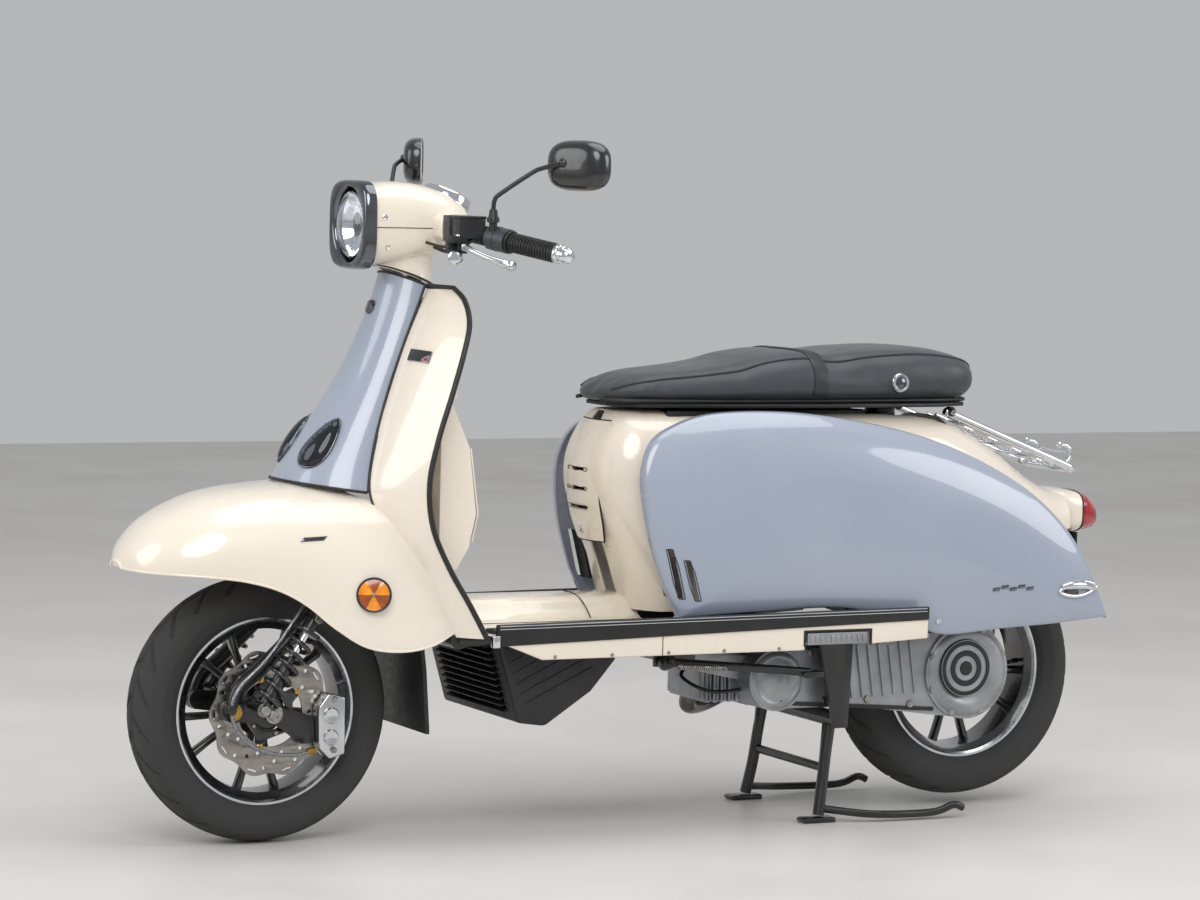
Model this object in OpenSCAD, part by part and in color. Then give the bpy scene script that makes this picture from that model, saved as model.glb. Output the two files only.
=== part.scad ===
// Retro two-tone scooter, standing on its centre stand.
// X runs forward, Y to the rider's left, Z up; the origin is on the ground under the middle of the box.

/* [Chassis] */
// Front axle, forward of the origin
front_axle_x = 716; // [700:1:730]
// Rear axle, behind the origin
rear_axle_x = -678; // [-690:1:-665]
// Rear wheel's height off the ground on the centre stand
rear_lift = 16.8; // [10:0.1:20]
// Steering head angle from the vertical, degrees
rake = 21; // [19:0.5:23]

/* [Wheels] */
// Front tyre radius
front_r = 229.5; // [225:0.5:230]
// Front tyre width
front_w = 110; // [100:1:112]
// Rear tyre radius
rear_r = 236.4; // [230:0.1:238]
// Rear tyre width
rear_w = 120; // [110:1:122]
// Radius of both rims at the flange
rim_r = 166.5; // [160:0.5:168]

/* [Bodywork] */
// Thickness of the painted panels
skin_t = 3; // [2:0.5:4]
// Half width of the floorboard and legshield
half_w = 236; // [230:1:240]
// Height of the footboard's top
floor_z = 374; // [370:1:378]
// Height of the seat base's underside
seat_z = 752; // [750:1:754]

/* [Controls] */
// Length of each hand grip
grip_len = 104; // [95:1:110]
// Radius of each hand grip
grip_r = 17; // [15:0.5:18]

/* [Hidden] */
$fn = 48;

cream = "#efe8dc";
blue = "#a9b2c6";
black = "#1b1b1d";
chrome = "#c9ccd1";
grey = "#55575c";

front_axle = [front_axle_x, 0, front_r];
rear_axle = [rear_axle_x, 0, rear_r + rear_lift];
steer_top = [400, 0, 1065];
link_pivot = [796, 0, 238];
engine_pivot = [-62, 0, 300];
stand_pivot = [-350, 0, 188];
side_pivot = [16, 186, 308];
side_axis = unit([0.0306, -0.94, -0.34]);
bar_dir = unit([-0.4087, 0.9029, -0.1521]);
bar_root = [423, 120, 1067];
bar_tilt = acos(bar_dir[2]);
bar_turn = atan2(bar_dir[1], bar_dir[0]);
bar_len = 286;
grip_from = 140;
running_gap = 0.05;

// ---- curves, skins and tubes ----

function catmull(a, b, c, d, t) =
  0.5 * (2 * b + (c - a) * t + (2 * a - 5 * b + 4 * c - d) * t * t + (3 * b - a - 3 * c + d) * t * t * t);

// An open run of rows or points, with n steps between each two.
function smooth(p, n) = let (e = len(p) - 1) [
  for (i = [0 : e - 1]) for (j = [0 : n - 1])
    catmull(p[max(i - 1, 0)], p[i], p[i + 1], p[min(i + 2, e)], j / n),
  p[e]
];

function bend(v, q) = sign(v) * pow(abs(v), q);

// Half hoops from the left foot over the crown to the right foot.
// Each row is [foot x, half width, foot z, crown x, crown z, forward bulge, squareness].
function hoops(rows, steps, cols, lean) = [
  for (r = smooth(rows, steps)) [
    for (j = [0 : cols]) let (a = 180 * j / cols, c = cos(a), s = abs(sin(a)), q = 2 / r[6], h = pow(s, q)) [
      r[0] + (r[3] - r[0]) * pow(s, lean) + r[5] * sin(180 * pow(h, 1.5)),
      r[1] * bend(c, q),
      r[2] + (r[4] - r[2]) * h
    ]
  ]
];

function across(g, i, j) = g[i][min(j + 1, len(g[0]) - 1)] - g[i][max(j - 1, 0)];
function along(g, i, j) = g[min(i + 1, len(g) - 1)][j] - g[max(i - 1, 0)][j];
function unit(v) = v / norm(v);
function sunk(g, t) = [
  for (i = [0 : len(g) - 1]) [
    for (j = [0 : len(g[0]) - 1]) g[i][j] + t * unit(cross(along(g, i, j), across(g, i, j)))
  ]
];

// A wall of thickness t behind a grid of points; a negative t puts it on the other side.
module wall(g, t) {
  n = len(g);
  m = len(g[0]);
  back = n * m;
  rows = [for (i = [0 : n - 2]) for (j = [0 : m - 2]) [i * m + j, i * m + j + 1, (i + 1) * m + j + 1, (i + 1) * m + j]];
  rim = concat(
    [for (j = [0 : m - 2]) [j + 1, j]],
    [for (j = [0 : m - 2]) [(n - 1) * m + j, (n - 1) * m + j + 1]],
    [for (i = [0 : n - 2]) [i * m, (i + 1) * m]],
    [for (i = [0 : n - 2]) [(i + 1) * m + m - 1, i * m + m - 1]]
  );
  quads = concat(
    rows,
    [for (q = rows) [q[3] + back, q[2] + back, q[1] + back, q[0] + back]],
    [for (e = rim) [e[0], e[1], e[1] + back, e[0] + back]]
  );
  faces = [for (q = quads) each [[q[0], q[1], q[2]], [q[0], q[2], q[3]]]];
  polyhedron([for (r = concat(g, sunk(g, t))) each r], t > 0 ? faces : [for (f = faces) [f[2], f[1], f[0]]]);
}

// A solid through closed rings of equal length.
module skin(rings) {
  n = len(rings);
  m = len(rings[0]);
  polyhedron([for (r = rings) each r], concat(
    [[for (j = [m - 1 : -1 : 0]) j]],
    [[for (j = [0 : m - 1]) (n - 1) * m + j]],
    [
      for (i = [0 : n - 2]) for (j = [0 : m - 1])
        let (a = i * m + j, b = i * m + (j + 1) % m) each [[a, b, b + m], [a, b + m, a + m]]
    ]
  ));
}

// Squarish rings across X: each row is [x, half width, low z, high z, squareness].
function loops_x(rows, steps, cols) = [
  for (r = smooth(rows, steps)) [
    for (j = [0 : cols - 1]) let (a = 360 * j / cols, q = 2 / r[4])
      [r[0], r[1] * bend(cos(a), q), (r[2] + r[3]) / 2 + (r[3] - r[2]) / 2 * bend(sin(a), q)]
  ]
];

function ring_at(p, d, r, sides) =
  let (u = unit(cross(d, abs(d[2]) > 0.9 * norm(d) ? [0, 1, 0] : [0, 0, 1])), v = unit(cross(u, d)))
  [for (j = [0 : sides - 1]) p + r * (cos(360 * j / sides) * u + sin(360 * j / sides) * v)];

// A round tube along a smooth path.
module swept(p, r, sides = 10) {
  e = len(p) - 1;
  skin([for (i = [0 : e]) ring_at(p[i], p[min(i + 1, e)] - p[max(i - 1, 0)], r, sides)]);
}

module rod(a, b, r) {
  d = b - a;
  translate(a) rotate([0, acos(d[2] / norm(d)), atan2(d[1], d[0])]) cylinder(h = norm(d), r = r);
}

module pipe(p, r) {
  for (i = [0 : len(p) - 2]) rod(p[i], p[i + 1], r);
  for (i = [1 : len(p) - 2]) translate(p[i]) sphere(r = r + 0.3, $fn = 24);
}

module pair() {
  children();
  mirror([0, 1, 0]) children();
}

module across_y(at, from, to, r) {
  translate([at[0], from, at[2]]) rotate([-90, 0, 0]) cylinder(h = to - from, r = r);
}

// A plate with its outline in the XZ plane.
module side_plate(outline, from, to) {
  translate([0, to, 0]) rotate([90, 0, 0]) linear_extrude(to - from) polygon(outline);
}

// Along the steering stem, with the local origin at the handlebar.
module on_stem() {
  translate(steer_top) rotate([0, -rake, 0]) children();
}

// Along the left handlebar.
module on_bar(at) {
  translate(bar_root + at * bar_dir) rotate([0, bar_tilt, bar_turn]) children();
}

// ---- frame and running gear of the frame ----

head_tube = [-430, -130];
bearing_h = 14;
stem_r = 14;

module main_frame() {
  color(black) {
    on_stem() translate([0, 0, head_tube[0]]) difference() {
      cylinder(h = head_tube[1] - head_tube[0], r = 26);
      translate([0, 0, -1]) cylinder(h = head_tube[1] - head_tube[0] + 2, r = 20);
    }
    pipe([[463, 0, 792], [468, 0, 690], [466, 0, 486], [427, 0, 400], [384, 0, 352]], 17);
    rod([385, -112, 350], [385, 112, 350], 16);
    pair() pipe([[385, 105, 350], [60, 165, 350], [-330, 165, 345], [-430, 130, 430], [-560, 124, 640]], 12);
    rod([-560, -132, 640], [-560, 132, 640], 10);
    rod([60, -170, 350], [60, 170, 350], 12);
    pair() {
      side_plate([[-40, 350], [-84, 350], [-76, 286], [-48, 286]], 106, 112);
      side_plate([[-300, 345], [-372, 345], [-364, 174], [-336, 174]], 160, 168);
      across_y([-62, 0, 340], 100, 170, 9);
    }
    across_y(engine_pivot, -111, 111, 8);
    pair() rod([-560, 120, 636], [-634, 106, 608], 8);
    pair() side_plate([[32, 352], [-2, 352], [2, 298], [30, 298]], 158, 166);
    rod(side_pivot - 16 * side_axis, side_pivot + 20 * side_axis, 5);
  }
}

module steering_bearings() {
  color(chrome) for (z = [head_tube[0] + 1, head_tube[1] - bearing_h - 1]) on_stem() translate([0, 0, z])
    difference() {
      cylinder(h = bearing_h, r = 19.95);
      translate([0, 0, -1]) cylinder(h = bearing_h + 2, r = stem_r + running_gap);
    }
}

fender_rows = [
  [976, 26, 481, 980, 492, 0, 2.2],
  [955, 82, 479, 962, 524, 0, 2.3],
  [912, 122, 477, 920, 564, 0, 2.4],
  [858, 145, 474, 850, 598, 0, 2.5],
  [800, 157, 467, 790, 613, 0, 2.6],
  [745, 168, 452, 730, 620, 0, 2.7],
  [698, 178, 427, 690, 623, 0, 2.8],
  [650, 190, 388, 668, 624, 0, 2.9],
  [596, 201, 355, 656, 624, 0, 3],
  [538, 208, 346, 650, 624, 0, 3],
  [482, 212, 354, 645, 623, 0, 3],
  [438, 210, 376, 640, 622, 0, 3]
];

module front_fender() {
  color(cream) wall(hoops(fender_rows, 2, 24, 3), -skin_t);
}

module splash_guard() {
  outline = [[452, 190], [460, 300], [478, 440], [512, 560], [508, 566], [470, 445], [452, 300], [444, 190]];
  // The sheet is relieved round the frame's down tube.
  color(black) difference() {
    side_plate(outline, -128, 128);
    translate([440, -19, 430]) cube([45.5, 38, 70]);
  }
}

horncast_rows = [
  [572, 132, 612, 684, 626],
  [563, 118, 650, 660, 668],
  [546, 101, 706, 618, 728],
  [518, 84, 782, 576, 794],
  [487, 72, 858, 542, 860],
  [458, 65, 926, 514, 928],
  [442, 62, 966, 496, 986]
];

// Sections bowed forwards from one seam with the legshield to the other.
function bows(rows, steps, cols) = [
  for (r = smooth(rows, steps)) [
    for (j = [0 : cols]) let (a = 180 * j / cols, s = pow(abs(sin(a)), 1.15))
      [r[0] + (r[3] - r[0]) * s, r[1] * bend(cos(a), 0.8), r[2] + (r[4] - r[2]) * s]
  ]
];

module horncast() {
  color(blue) wall(bows(horncast_rows, 2, 18), skin_t);
}

module horncast_lamps() {
  color(grey) pair() translate([641, 66, 690]) rotate([0, -34, 38]) scale([16, 25, 56]) sphere(r = 1, $fn = 24);
}

shield_rows = [
  [[438, 64, 964], [412, 118, 962]],
  [[440, 64, 954], [412, 165, 942]],
  [[456, 67, 922], [418, 200, 905]],
  [[484, 74, 860], [434, 217, 858]],
  [[515, 86, 783], [460, 229, 786]],
  [[543, 103, 708], [486, 234, 710]],
  [[568, 134, 612], [502, 236, 634]],
  [[540, 160, 545], [494, 236, 560]],
  [[500, 184, 472], [462, 236, 490]],
  [[462, 202, 408], [422, 236, 425]],
  [[436, 208, 368], [388, 236, 366]]
];

// Rows from the inner seam out to the edge, bowed forwards.
function shield_grid(cols) = let (
  inner = smooth([for (r = shield_rows) r[0]], 2),
  outer = smooth([for (r = shield_rows) r[1]], 2)
) [
  for (i = [0 : len(inner) - 1]) [
    for (j = [0 : cols]) let (t = j / cols)
      inner[i] + (outer[i] - inner[i]) * t + [0.07 * norm(outer[i] - inner[i]) * sin(180 * t), 0, 0]
  ]
];

module legshield() {
  color(cream) pair() wall(shield_grid(5), -skin_t);
}

module side_reflectors() {
  color("#e08a10") pair() translate([585, 196, 444]) rotate([-90, 0, 24]) rotate([-6, 0, 0]) cylinder(h = 12, r = 30);
}

box_outline = [[444, 771], [428, 771], [390, 690], [375, 573], [388, 515], [411, 477], [444, 477]];
cavity_outline = [[440, 767], [430, 767], [395, 694], [360, 680], [360, 560], [393, 517], [414, 481], [440, 481]];

module glovebox() {
  color(cream) {
    difference() {
      side_plate(box_outline, -150, 150);
      side_plate(cavity_outline, -146, 146);
    }
    difference() {
      side_plate([[402, 771], [398, 940], [404, 940], [430, 771]], -120, 120);
      translate([380, -20, 828]) rotate([0, 90, 0]) cylinder(h = 60, r = 17);
    }
  }
}

module glovebox_lid() {
  color(cream) side_plate([[386, 686], [370, 573], [381, 524], [377, 522], [366, 573], [382, 687]], -142, 142);
}

module ignition_lock() {
  color(chrome) translate([392, -20, 828]) rotate([0, 90, 0]) {
    difference() {
      cylinder(h = 30, r = 15);
      translate([-1.5, -5, -1]) cube([3, 10, 8]);
    }
  }
}

tunnel = [[-70, 0], [-52, 34], [-30, 42], [30, 42], [52, 34], [70, 0]];

module floorboard() {
  edge = half_w - 14.5;
  profile = concat(
    [[-edge, floor_z - 8], [-edge, floor_z]],
    [for (p = tunnel) [p[0], p[1] + floor_z]],
    [[edge, floor_z], [edge, floor_z - 8], [66, floor_z - 8]],
    [[48, floor_z + 28], [-48, floor_z + 28], [-66, floor_z - 8]]
  );
  color(cream) difference() {
    translate([18, 0, 0]) rotate([90, 0, 90]) linear_extrude(366) polygon(profile);
    translate([10, -80, 385]) cube([96, 160, 60]);
  }
}

sill_x = [-486, 372];

module runner_strips() {
  color(black) pair() {
    side_plate([[sill_x[0], 379], [sill_x[0], 394], [sill_x[1], 386], [sill_x[1], 371]], 233, 242);
    side_plate([[16, 374.5], [16, 380], [sill_x[1], 380], [sill_x[1], 374.5]], 196, 232);
  }
}

peg_x = [-364, -234];

module side_sills() {
  color(cream) pair() difference() {
    side_plate([[-486, 340], [-486, 378.5], [300, 370.5], [372, 370.5], [284, 326], [-220, 326]], 222, 238);
    translate([peg_x[0], 200, 320]) cube([peg_x[1] - peg_x[0], 60, 41]);
  }
}

shroud_outline = [[327, 336], [286, 206], [236, 200], [150, 258], [104, 312], [98, 336]];
shroud_cavity = [[322, 358], [280, 214], [240, 208], [156, 262], [112, 316], [106, 358]];

module radiator_shroud() {
  color(black) difference() {
    side_plate(shroud_outline, -158, 158);
    side_plate(shroud_cavity, -153, 153);
    for (k = [0 : 8]) translate([275, -120, 228 + k * 12]) cube([60, 240, 5]);
  }
}

module radiator() {
  color(grey) {
    side_plate([[288, 330], [252, 226], [226, 234], [262, 334]], -110, 110);
    pair() side_plate([[290, 330], [252, 222], [224, 230], [260, 335]], 112, 132);
  }
}

body_rows = [
  [30, 24, 390, 64, 744, 70, 6],
  [24, 80, 390, 60, 745, 64, 5],
  [-4, 118, 390, 46, 746, 50, 4.6],
  [-40, 138, 392, 18, 747, 32, 4.4],
  [-90, 147, 396, -30, 748, 14, 4.4],
  [-170, 148, 410, -110, 748, 6, 4.4],
  [-260, 148, 450, -230, 748, 0, 4.4],
  [-360, 148, 478, -350, 748, 0, 4.4],
  [-470, 148, 486, -470, 747, 0, 4.2],
  [-560, 147, 490, -560, 742, 0, 3.8],
  [-640, 142, 492, -640, 716, 0, 3.4],
  [-720, 130, 496, -720, 672, 0, 3],
  [-790, 112, 504, -790, 624, 0, 2.8],
  [-848, 92, 512, -848, 594, 0, 2.7],
  [-884, 80, 520, -884, 586, 0, 2.7]
];

module body_shell() {
  color(cream) difference() {
    wall(hoops(body_rows, 2, 28, 1), -skin_t);
    translate([-598, -96, 700]) cube([580, 192, 80]);
    translate([40, -67.5, 508]) cube([100, 135, 220]);
  }
}

// Front access cover: [middle x, half width, z, drop of its sides].
cover_rows = [
  [84, 56, 726, 12],
  [98, 64, 690, 12],
  [113, 66, 640, 13],
  [112, 66, 590, 13],
  [103, 64, 545, 13],
  [92, 54, 510, 12]
];

module access_cover() {
  grid = [
    for (r = smooth(cover_rows, 2)) [
      for (j = [0 : 8]) let (t = j / 4 - 1) [r[0] - r[3] * t * t, -r[1] * t, r[2]]
    ]
  ];
  color(cream) difference() {
    wall(grid, -2.5);
    for (k = [0 : 2]) translate([80, -34, 638 - k * 34]) cube([60, 68, 4]);
  }
}

panel_outline = [
  [4, 388], [34, 450], [58, 525], [70, 600], [68, 652], [48, 696], [8, 722], [-60, 743], [-160, 749],
  [-270, 744], [-390, 727], [-490, 705], [-580, 675], [-660, 638], [-724, 600], [-778, 556], [-822, 506],
  [-852, 455], [-876, 405], [-892, 366], [-790, 356], [-660, 349], [-540, 342], [-470, 366], [-330, 396],
  [-160, 394]
];
panel_middle = [-330, 560];
panel_rings = [1, 0.985, 0.94, 0.84, 0.68, 0.46, 0.2];

// Bulge of a panel at a share r of the way from its middle to its edge, at height z.
function panel_y(r, z) = let (edge = 157 + 42 * (1 - pow((z - 340) / 410, 2))) edge + (222 - edge) * sqrt(1 - pow(r, 5));
function panel_ring(r, inset) = [
  for (p = panel_outline) let (x = panel_middle[0] + (p[0] - panel_middle[0]) * r,
                               z = panel_middle[1] + (p[1] - panel_middle[1]) * r)
    [x, panel_y(r, p[1]) - inset, z]
];

module side_panels() {
  rings = concat(
    [for (i = [len(panel_rings) - 1 : -1 : 0]) panel_ring(panel_rings[i], 0)],
    [for (i = [0 : len(panel_rings) - 1]) panel_ring(i == 0 ? 0.993 : panel_rings[i] - 0.012, skin_t)]
  );
  color(blue) pair() difference() {
    skin(rings);
    side_plate([[20, 508], [26, 508], [6, 424], [0, 424]], 150, 240);
    side_plate([[-12, 488], [-6, 488], [-24, 420], [-30, 420]], 150, 240);
  }
}

module panel_handles() {
  color(chrome) pair() skin([
    for (r = [[-792, 212, 5, 6], [-815, 211, 8, 11], [-840, 208, 9, 13], [-866, 202, 8, 12], [-884, 196, 4, 6]]) [
      for (j = [0 : 11]) [r[0], r[1] + r[2] * cos(30 * j), 418 + r[3] * sin(30 * j)]
    ]
  ]);
}

rack_half = [[-592, 96, 742], [-640, 96, 724], [-850, 93, 643], [-876, 84, 633], [-885, 64, 629.5]];
rack_loop = concat(rack_half, [for (i = [len(rack_half) - 1 : -1 : 0]) [rack_half[i][0], -rack_half[i][1], rack_half[i][2]]]);

module rear_rack() {
  color(chrome) {
    swept(smooth(rack_loop, 2), 7, 8);
    for (k = [0 : 3]) let (x = -664 - 54 * k, z = 714.5 - 20.6 * k) across_y([x, 0, z], -93, 93, 4.5);
    pair() for (y = [24, 56]) rod([-645, y, 727], [-880, y, 637], 4);
    swept(smooth([[-880, 56, 634], [-894, 58, 662], [-868, 58, 672]], 3), 4, 8);
    swept(smooth([[-880, -56, 634], [-894, -58, 662], [-868, -58, 672]], 3), 4, 8);
    across_y([-893, 0, 660], -57, 57, 3.5);
  }
}

tail_rows = [
  [-885, 58, 506, 591, 3.4], [-906, 60, 506, 588, 3.4], [-926, 58, 508, 584, 3.4]
];
lens_rows = [[-926.5, 56, 510, 582, 3.2], [-945, 52, 510, 578, 3], [-966, 40, 513, 562, 2.6], [-979, 20, 518, 546, 2.2]];

module tail_lamp_housing() {
  color(cream) {
    skin(loops_x(tail_rows, 2, 20));
    difference() {
      side_plate([[-908, 510], [-912, 510], [-912, 420], [-908, 420]], -62, 62);
      for (y = [-40, 40]) translate([-918, y, 440]) rotate([0, 90, 0]) cylinder(h = 14, r = 3.2);
    }
  }
}

module tail_lens() {
  color("#7c0d1a") skin(loops_x(lens_rows, 2, 20));
}

module storage_bucket() {
  color(black) difference() {
    translate([-420, -94, 560]) cube([400, 188, 186]);
    translate([-416, -90, 564]) cube([392, 180, 200]);
  }
}

module fuel_tank() {
  color(black) {
    translate([-586, -88, 655]) cube([152, 176, 58]);
    translate([-510, 0, 712]) cylinder(h = 32, r = 28);
  }
}

// ---- seat ----

seat_rows = [
  [94, 30, 762, 778, 2.4],
  [84, 62, 760, 790, 2.6],
  [50, 92, 759.5, 800, 2.9],
  [-10, 112, 759.5, 808, 3.1],
  [-80, 126, 759.5, 815, 3.2],
  [-150, 136, 759.5, 825, 3.3],
  [-210, 143, 759.5, 840, 3.4],
  [-280, 147, 759.5, 848, 3.5],
  [-350, 147, 759.5, 844, 3.6],
  [-420, 146, 759.5, 851, 3.6],
  [-520, 143, 759.5, 855, 3.6],
  [-600, 134, 760, 849, 3.4],
  [-640, 116, 763, 838, 3],
  [-654, 90, 772, 824, 2.6]
];

module seat_cushion() {
  color(black) skin(loops_x(seat_rows, 2, 22));
}

module seat_base() {
  color(black) {
    translate([0, 0, seat_z]) linear_extrude(7) polygon([
      [76, -40], [30, -92], [-150, -128], [-300, -138], [-560, -132], [-630, -100],
      [-630, 100], [-560, 132], [-300, 138], [-150, 128], [30, 92], [76, 40]
    ]);
    difference() {
      translate([30, -50, 748.6]) cube([30, 100, 3.4]);
      translate([30, -12, 740]) cube([30, 24, 20]);
    }
  }
}

module seat_buttons() {
  color(chrome) pair() translate([-472, 146.5, 798]) rotate([-90, 0, 0]) {
    cylinder(h = 5, r = 17);
    cylinder(h = 8, r = 11);
  }
}

// ---- steering ----

fork_leg = [[596, 78, 556], [626, 92, 470], [662, 92, 396], [738, 92, 318], [784, 92, 278], [794, 92, 251]];

module fork() {
  color(black) {
    on_stem() translate([0, 0, -520]) cylinder(h = 500, r = stem_r);
    on_stem() translate([0, 0, -530]) cylinder(h = 40, r = 30);
    rod([596, -90, 560], [596, 90, 560], 17);
    pair() difference() {
      union() {
        swept(smooth(fork_leg, 2), 12, 12);
        across_y(link_pivot, 80, 104, 18);
        across_y([663, 0, 400], 92, 148, 8);
      }
      across_y(link_pivot, 70, 110, 8 + running_gap);
    }
  }
}

headset_rows = [
  [543, 78, 996, 1138, 3.4],
  [500, 84, 1000, 1143, 3.2],
  [455, 92, 1008, 1141, 3],
  [410, 92, 1018, 1130, 2.8],
  [372, 74, 1036, 1112, 2.6],
  [357, 52, 1050, 1098, 2.4]
];
// Neck rings: [z, middle x, half length, half width, rise towards the front].
neck_rows = [[1034, 462, 60, 62, 0], [1006, 462, 54, 58, 0.2], [977, 456, 50, 57, 0.36]];

module headset() {
  color(cream) difference() {
    union() {
      skin(loops_x(headset_rows, 2, 24));
      pair() rod([412, 60, 1066], [415, 124, 1066], 27);
      skin([
        for (r = neck_rows) [for (j = [0 : 23]) [
            r[1] + r[2] * cos(15 * j), r[3] * sin(15 * j), r[0] + r[4] * r[2] * cos(15 * j)
          ]]
      ]);
    }
    translate([369, -60, 1010]) cube([110, 120, 60]);
    translate([392, -60, 1030]) cube([143, 120, 80]);
    on_stem() translate([0, 0, -120]) cylinder(h = 130, r = stem_r + 1);
    pair() rod([412, -5, 1066], [425, 134, 1067], 12);
    pair() on_bar(-14) cylinder(h = 40, r = 12);
  }
}

// A rounded square outline.
function squircle(w, h, n, count) = [
  for (j = [0 : count - 1]) let (a = 360 * j / count) [w * bend(cos(a), 2 / n), h * bend(sin(a), 2 / n)]
];

module headlamp_bezel() {
  color(chrome) translate([543.5, 0, 1067]) rotate([90, 0, 90]) linear_extrude(20) difference() {
    polygon(squircle(84, 76, 4, 40));
    circle(r = 62);
  }
}

module headlamp_lens() {
  color(grey) translate([543.5, 0, 1067]) rotate([0, 90, 0]) cylinder(h = 8, r = 60);
}

module instrument() {
  color(black) translate([383, 0, 1120]) rotate([0, -24, 0]) cylinder(h = 15, r = 42);
}

module handlebar() {
  color(chrome) {
    pair() {
      rod([412, 0, 1066], bar_root, 11);
      on_bar(-2) cylinder(h = bar_len - 14, r = 11);
      on_bar(grip_from + grip_len + 2) cylinder(h = 8, r = 16);
      on_bar(grip_from + grip_len + 9) cylinder(h = 22, r1 = 14, r2 = 11);
    }
    sphere_at([412, 0, 1066], 11.3);
  }
}

module sphere_at(p, r) {
  translate(p) sphere(r = r, $fn = 24);
}

module left_grip() {
  color(black) on_bar(grip_from) difference() {
    cylinder(h = grip_len, r = grip_r);
    translate([0, 0, -1]) cylinder(h = grip_len + 2, r = 11);
  }
}

module throttle_grip() {
  color(black) mirror([0, 1, 0]) on_bar(grip_from) difference() {
    cylinder(h = grip_len, r = grip_r);
    translate([0, 0, -1]) cylinder(h = grip_len + 2, r = 11 + running_gap);
  }
}

module switch_pods() {
  color(black) pair() {
    difference() {
      on_bar(96) cylinder(h = 42, r = 21);
      on_bar(90) cylinder(h = 60, r = 11);
      translate([388, 222, 1056]) cylinder(h = 30, r = 7 + running_gap);
      translate([342, 226, 1049]) rotate([0, 90, 0]) cylinder(h = 22, r = button_r + 0.3);
    }
    difference() {
      translate([394, 126, 1044]) cube([44, 26, 44]);
      on_bar(-20) cylinder(h = 80, r = 11);
    }
  }
}

module master_cylinders() {
  color(black) pair() {
    difference() {
      union() {
        on_bar(44) cylinder(h = 40, r = 17);
        translate([392, 170, 1050]) cube([48, 30, 34]);
        translate([424, 168, 1024]) cube([28, 30, 30]);
      }
      on_bar(30) cylinder(h = 80, r = 11);
      translate([420, 181, 1030]) cube([50, 30, 12]);
    }
    translate([436, 192, 1026]) cylinder(h = 26, r = 4);
  }
}

module lever() {
  color(chrome) {
    difference() {
      hull() {
        translate([436, 192, 1031]) cylinder(h = 10, r = 9);
        translate([436, 214, 1030]) cylinder(h = 9, r = 7);
      }
      translate([436, 192, 1020]) cylinder(h = 30, r = 4 + running_gap);
    }
    swept(smooth([[436, 214, 1035], [434, 240, 1030], [420, 268, 1020], [404, 290, 1012], [393, 300, 1008]], 3), 5.5);
    translate([390, 303, 1007]) sphere(r = 9, $fn = 24);
  }
}

module brake_lever_left() {
  lever();
}

module brake_lever_right() {
  mirror([0, 1, 0]) lever();
}

module mirror_unit() {
  color(black) {
    translate([388, 222, 1062]) cylinder(h = 32, r = 7);
    pipe([[388, 222, 1090], [386, 228, 1122], [346, 304, 1176], [322, 330, 1180]], 4.5);
    translate([292, 344, 1178]) rotate([0, 0, 26]) rotate([90, 0, 90]) skin([
      for (r = [[-22, 0.62], [-12, 0.9], [2, 1], [10, 1]]) [
        for (p = squircle(62 * r[1], 43 * r[1], 3, 24)) [p[0], p[1], -r[0] - 6]
      ]
    ]);
  }
}

module mirror_left() {
  mirror_unit();
}

module mirror_right() {
  mirror([0, 1, 0]) mirror_unit();
}

module brake_hose() {
  color(black) swept(smooth([
    [640, 112, 470], [690, 112, 400], [742, 112, 330], [792, 114, 282], [806, 114, 240], [786, 113, 196],
    [744, 112, 170], [690, 110, 162], [650, 106, 168]
  ], 3), 3.5, 8);
}

// A coil round the Z axis, with its lower end at the local origin.
module coil(r, wire, height, turns, steps) {
  swept([
    for (i = [0 : turns * steps]) let (a = 360 * i / steps)
      [r * cos(a), r * sin(a), wire + (height - 2 * wire) * i / (turns * steps)]
  ], wire, 6);
}

module front_spring() {
  color(black) pair() translate([758, 130, 246]) rotate([0, -31.7, 0]) {
    translate([0, 0, 10]) coil(20, 4, 138, 6, 10);
    translate([0, 0, 9]) cylinder(h = 160, r = 11);
    translate([0, 0, 150]) cylinder(h = 8, r = 24);
  }
}

button_r = 5;

module horn_button() {
  color("#2b2b2e") translate([342, 226, 1049]) rotate([0, 90, 0]) cylinder(h = 14, r = button_r);
}

module start_button() {
  color("#a01c1c") translate([342, -226, 1049]) rotate([0, 90, 0]) cylinder(h = 14, r = button_r);
}

// ---- front wheel ----

module front_link() {
  color(black) {
    pair() {
      difference() {
        union() {
          across_y(link_pivot, 70, 79.5, 17);
          side_plate([[796, 255], [716, 249], [716, 210], [796, 221]], 70, 79.5);
          across_y(front_axle, 70, 79.5, 20);
        }
        across_y(front_axle, 60, 90, 8 + running_gap);
      }
      across_y(link_pivot, 68, 109, 8);
      across_y([758, 0, 246], 79, 146, 7);
    }
    side_plate([[716, 244], [640, 222], [640, 176], [664, 176], [716, 214]], 70, 78);
  }
  color(chrome) across_y(front_axle, -88, 88, 8);
}

module brake_caliper() {
  color(chrome) difference() {
    side_plate([[590, 158], [590, 256], [622, 264], [640, 240], [638, 170], [618, 150]], 50, 98);
    side_plate([[600, 130], [600, 290], [660, 290], [660, 130]], 58.5, 69.5);
  }
}

// A tyre's half section, from its bead over the tread.
function tyre_half(r, w) = [
  [rim_r - 4, w * 0.36], [rim_r + 8, w * 0.44], [rim_r + (r - rim_r) * 0.45, w * 0.5],
  [r - (r - rim_r) * 0.24, w * 0.46], [r - (r - rim_r) * 0.09, w * 0.33], [r - 1.2, w * 0.16]
];

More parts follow.
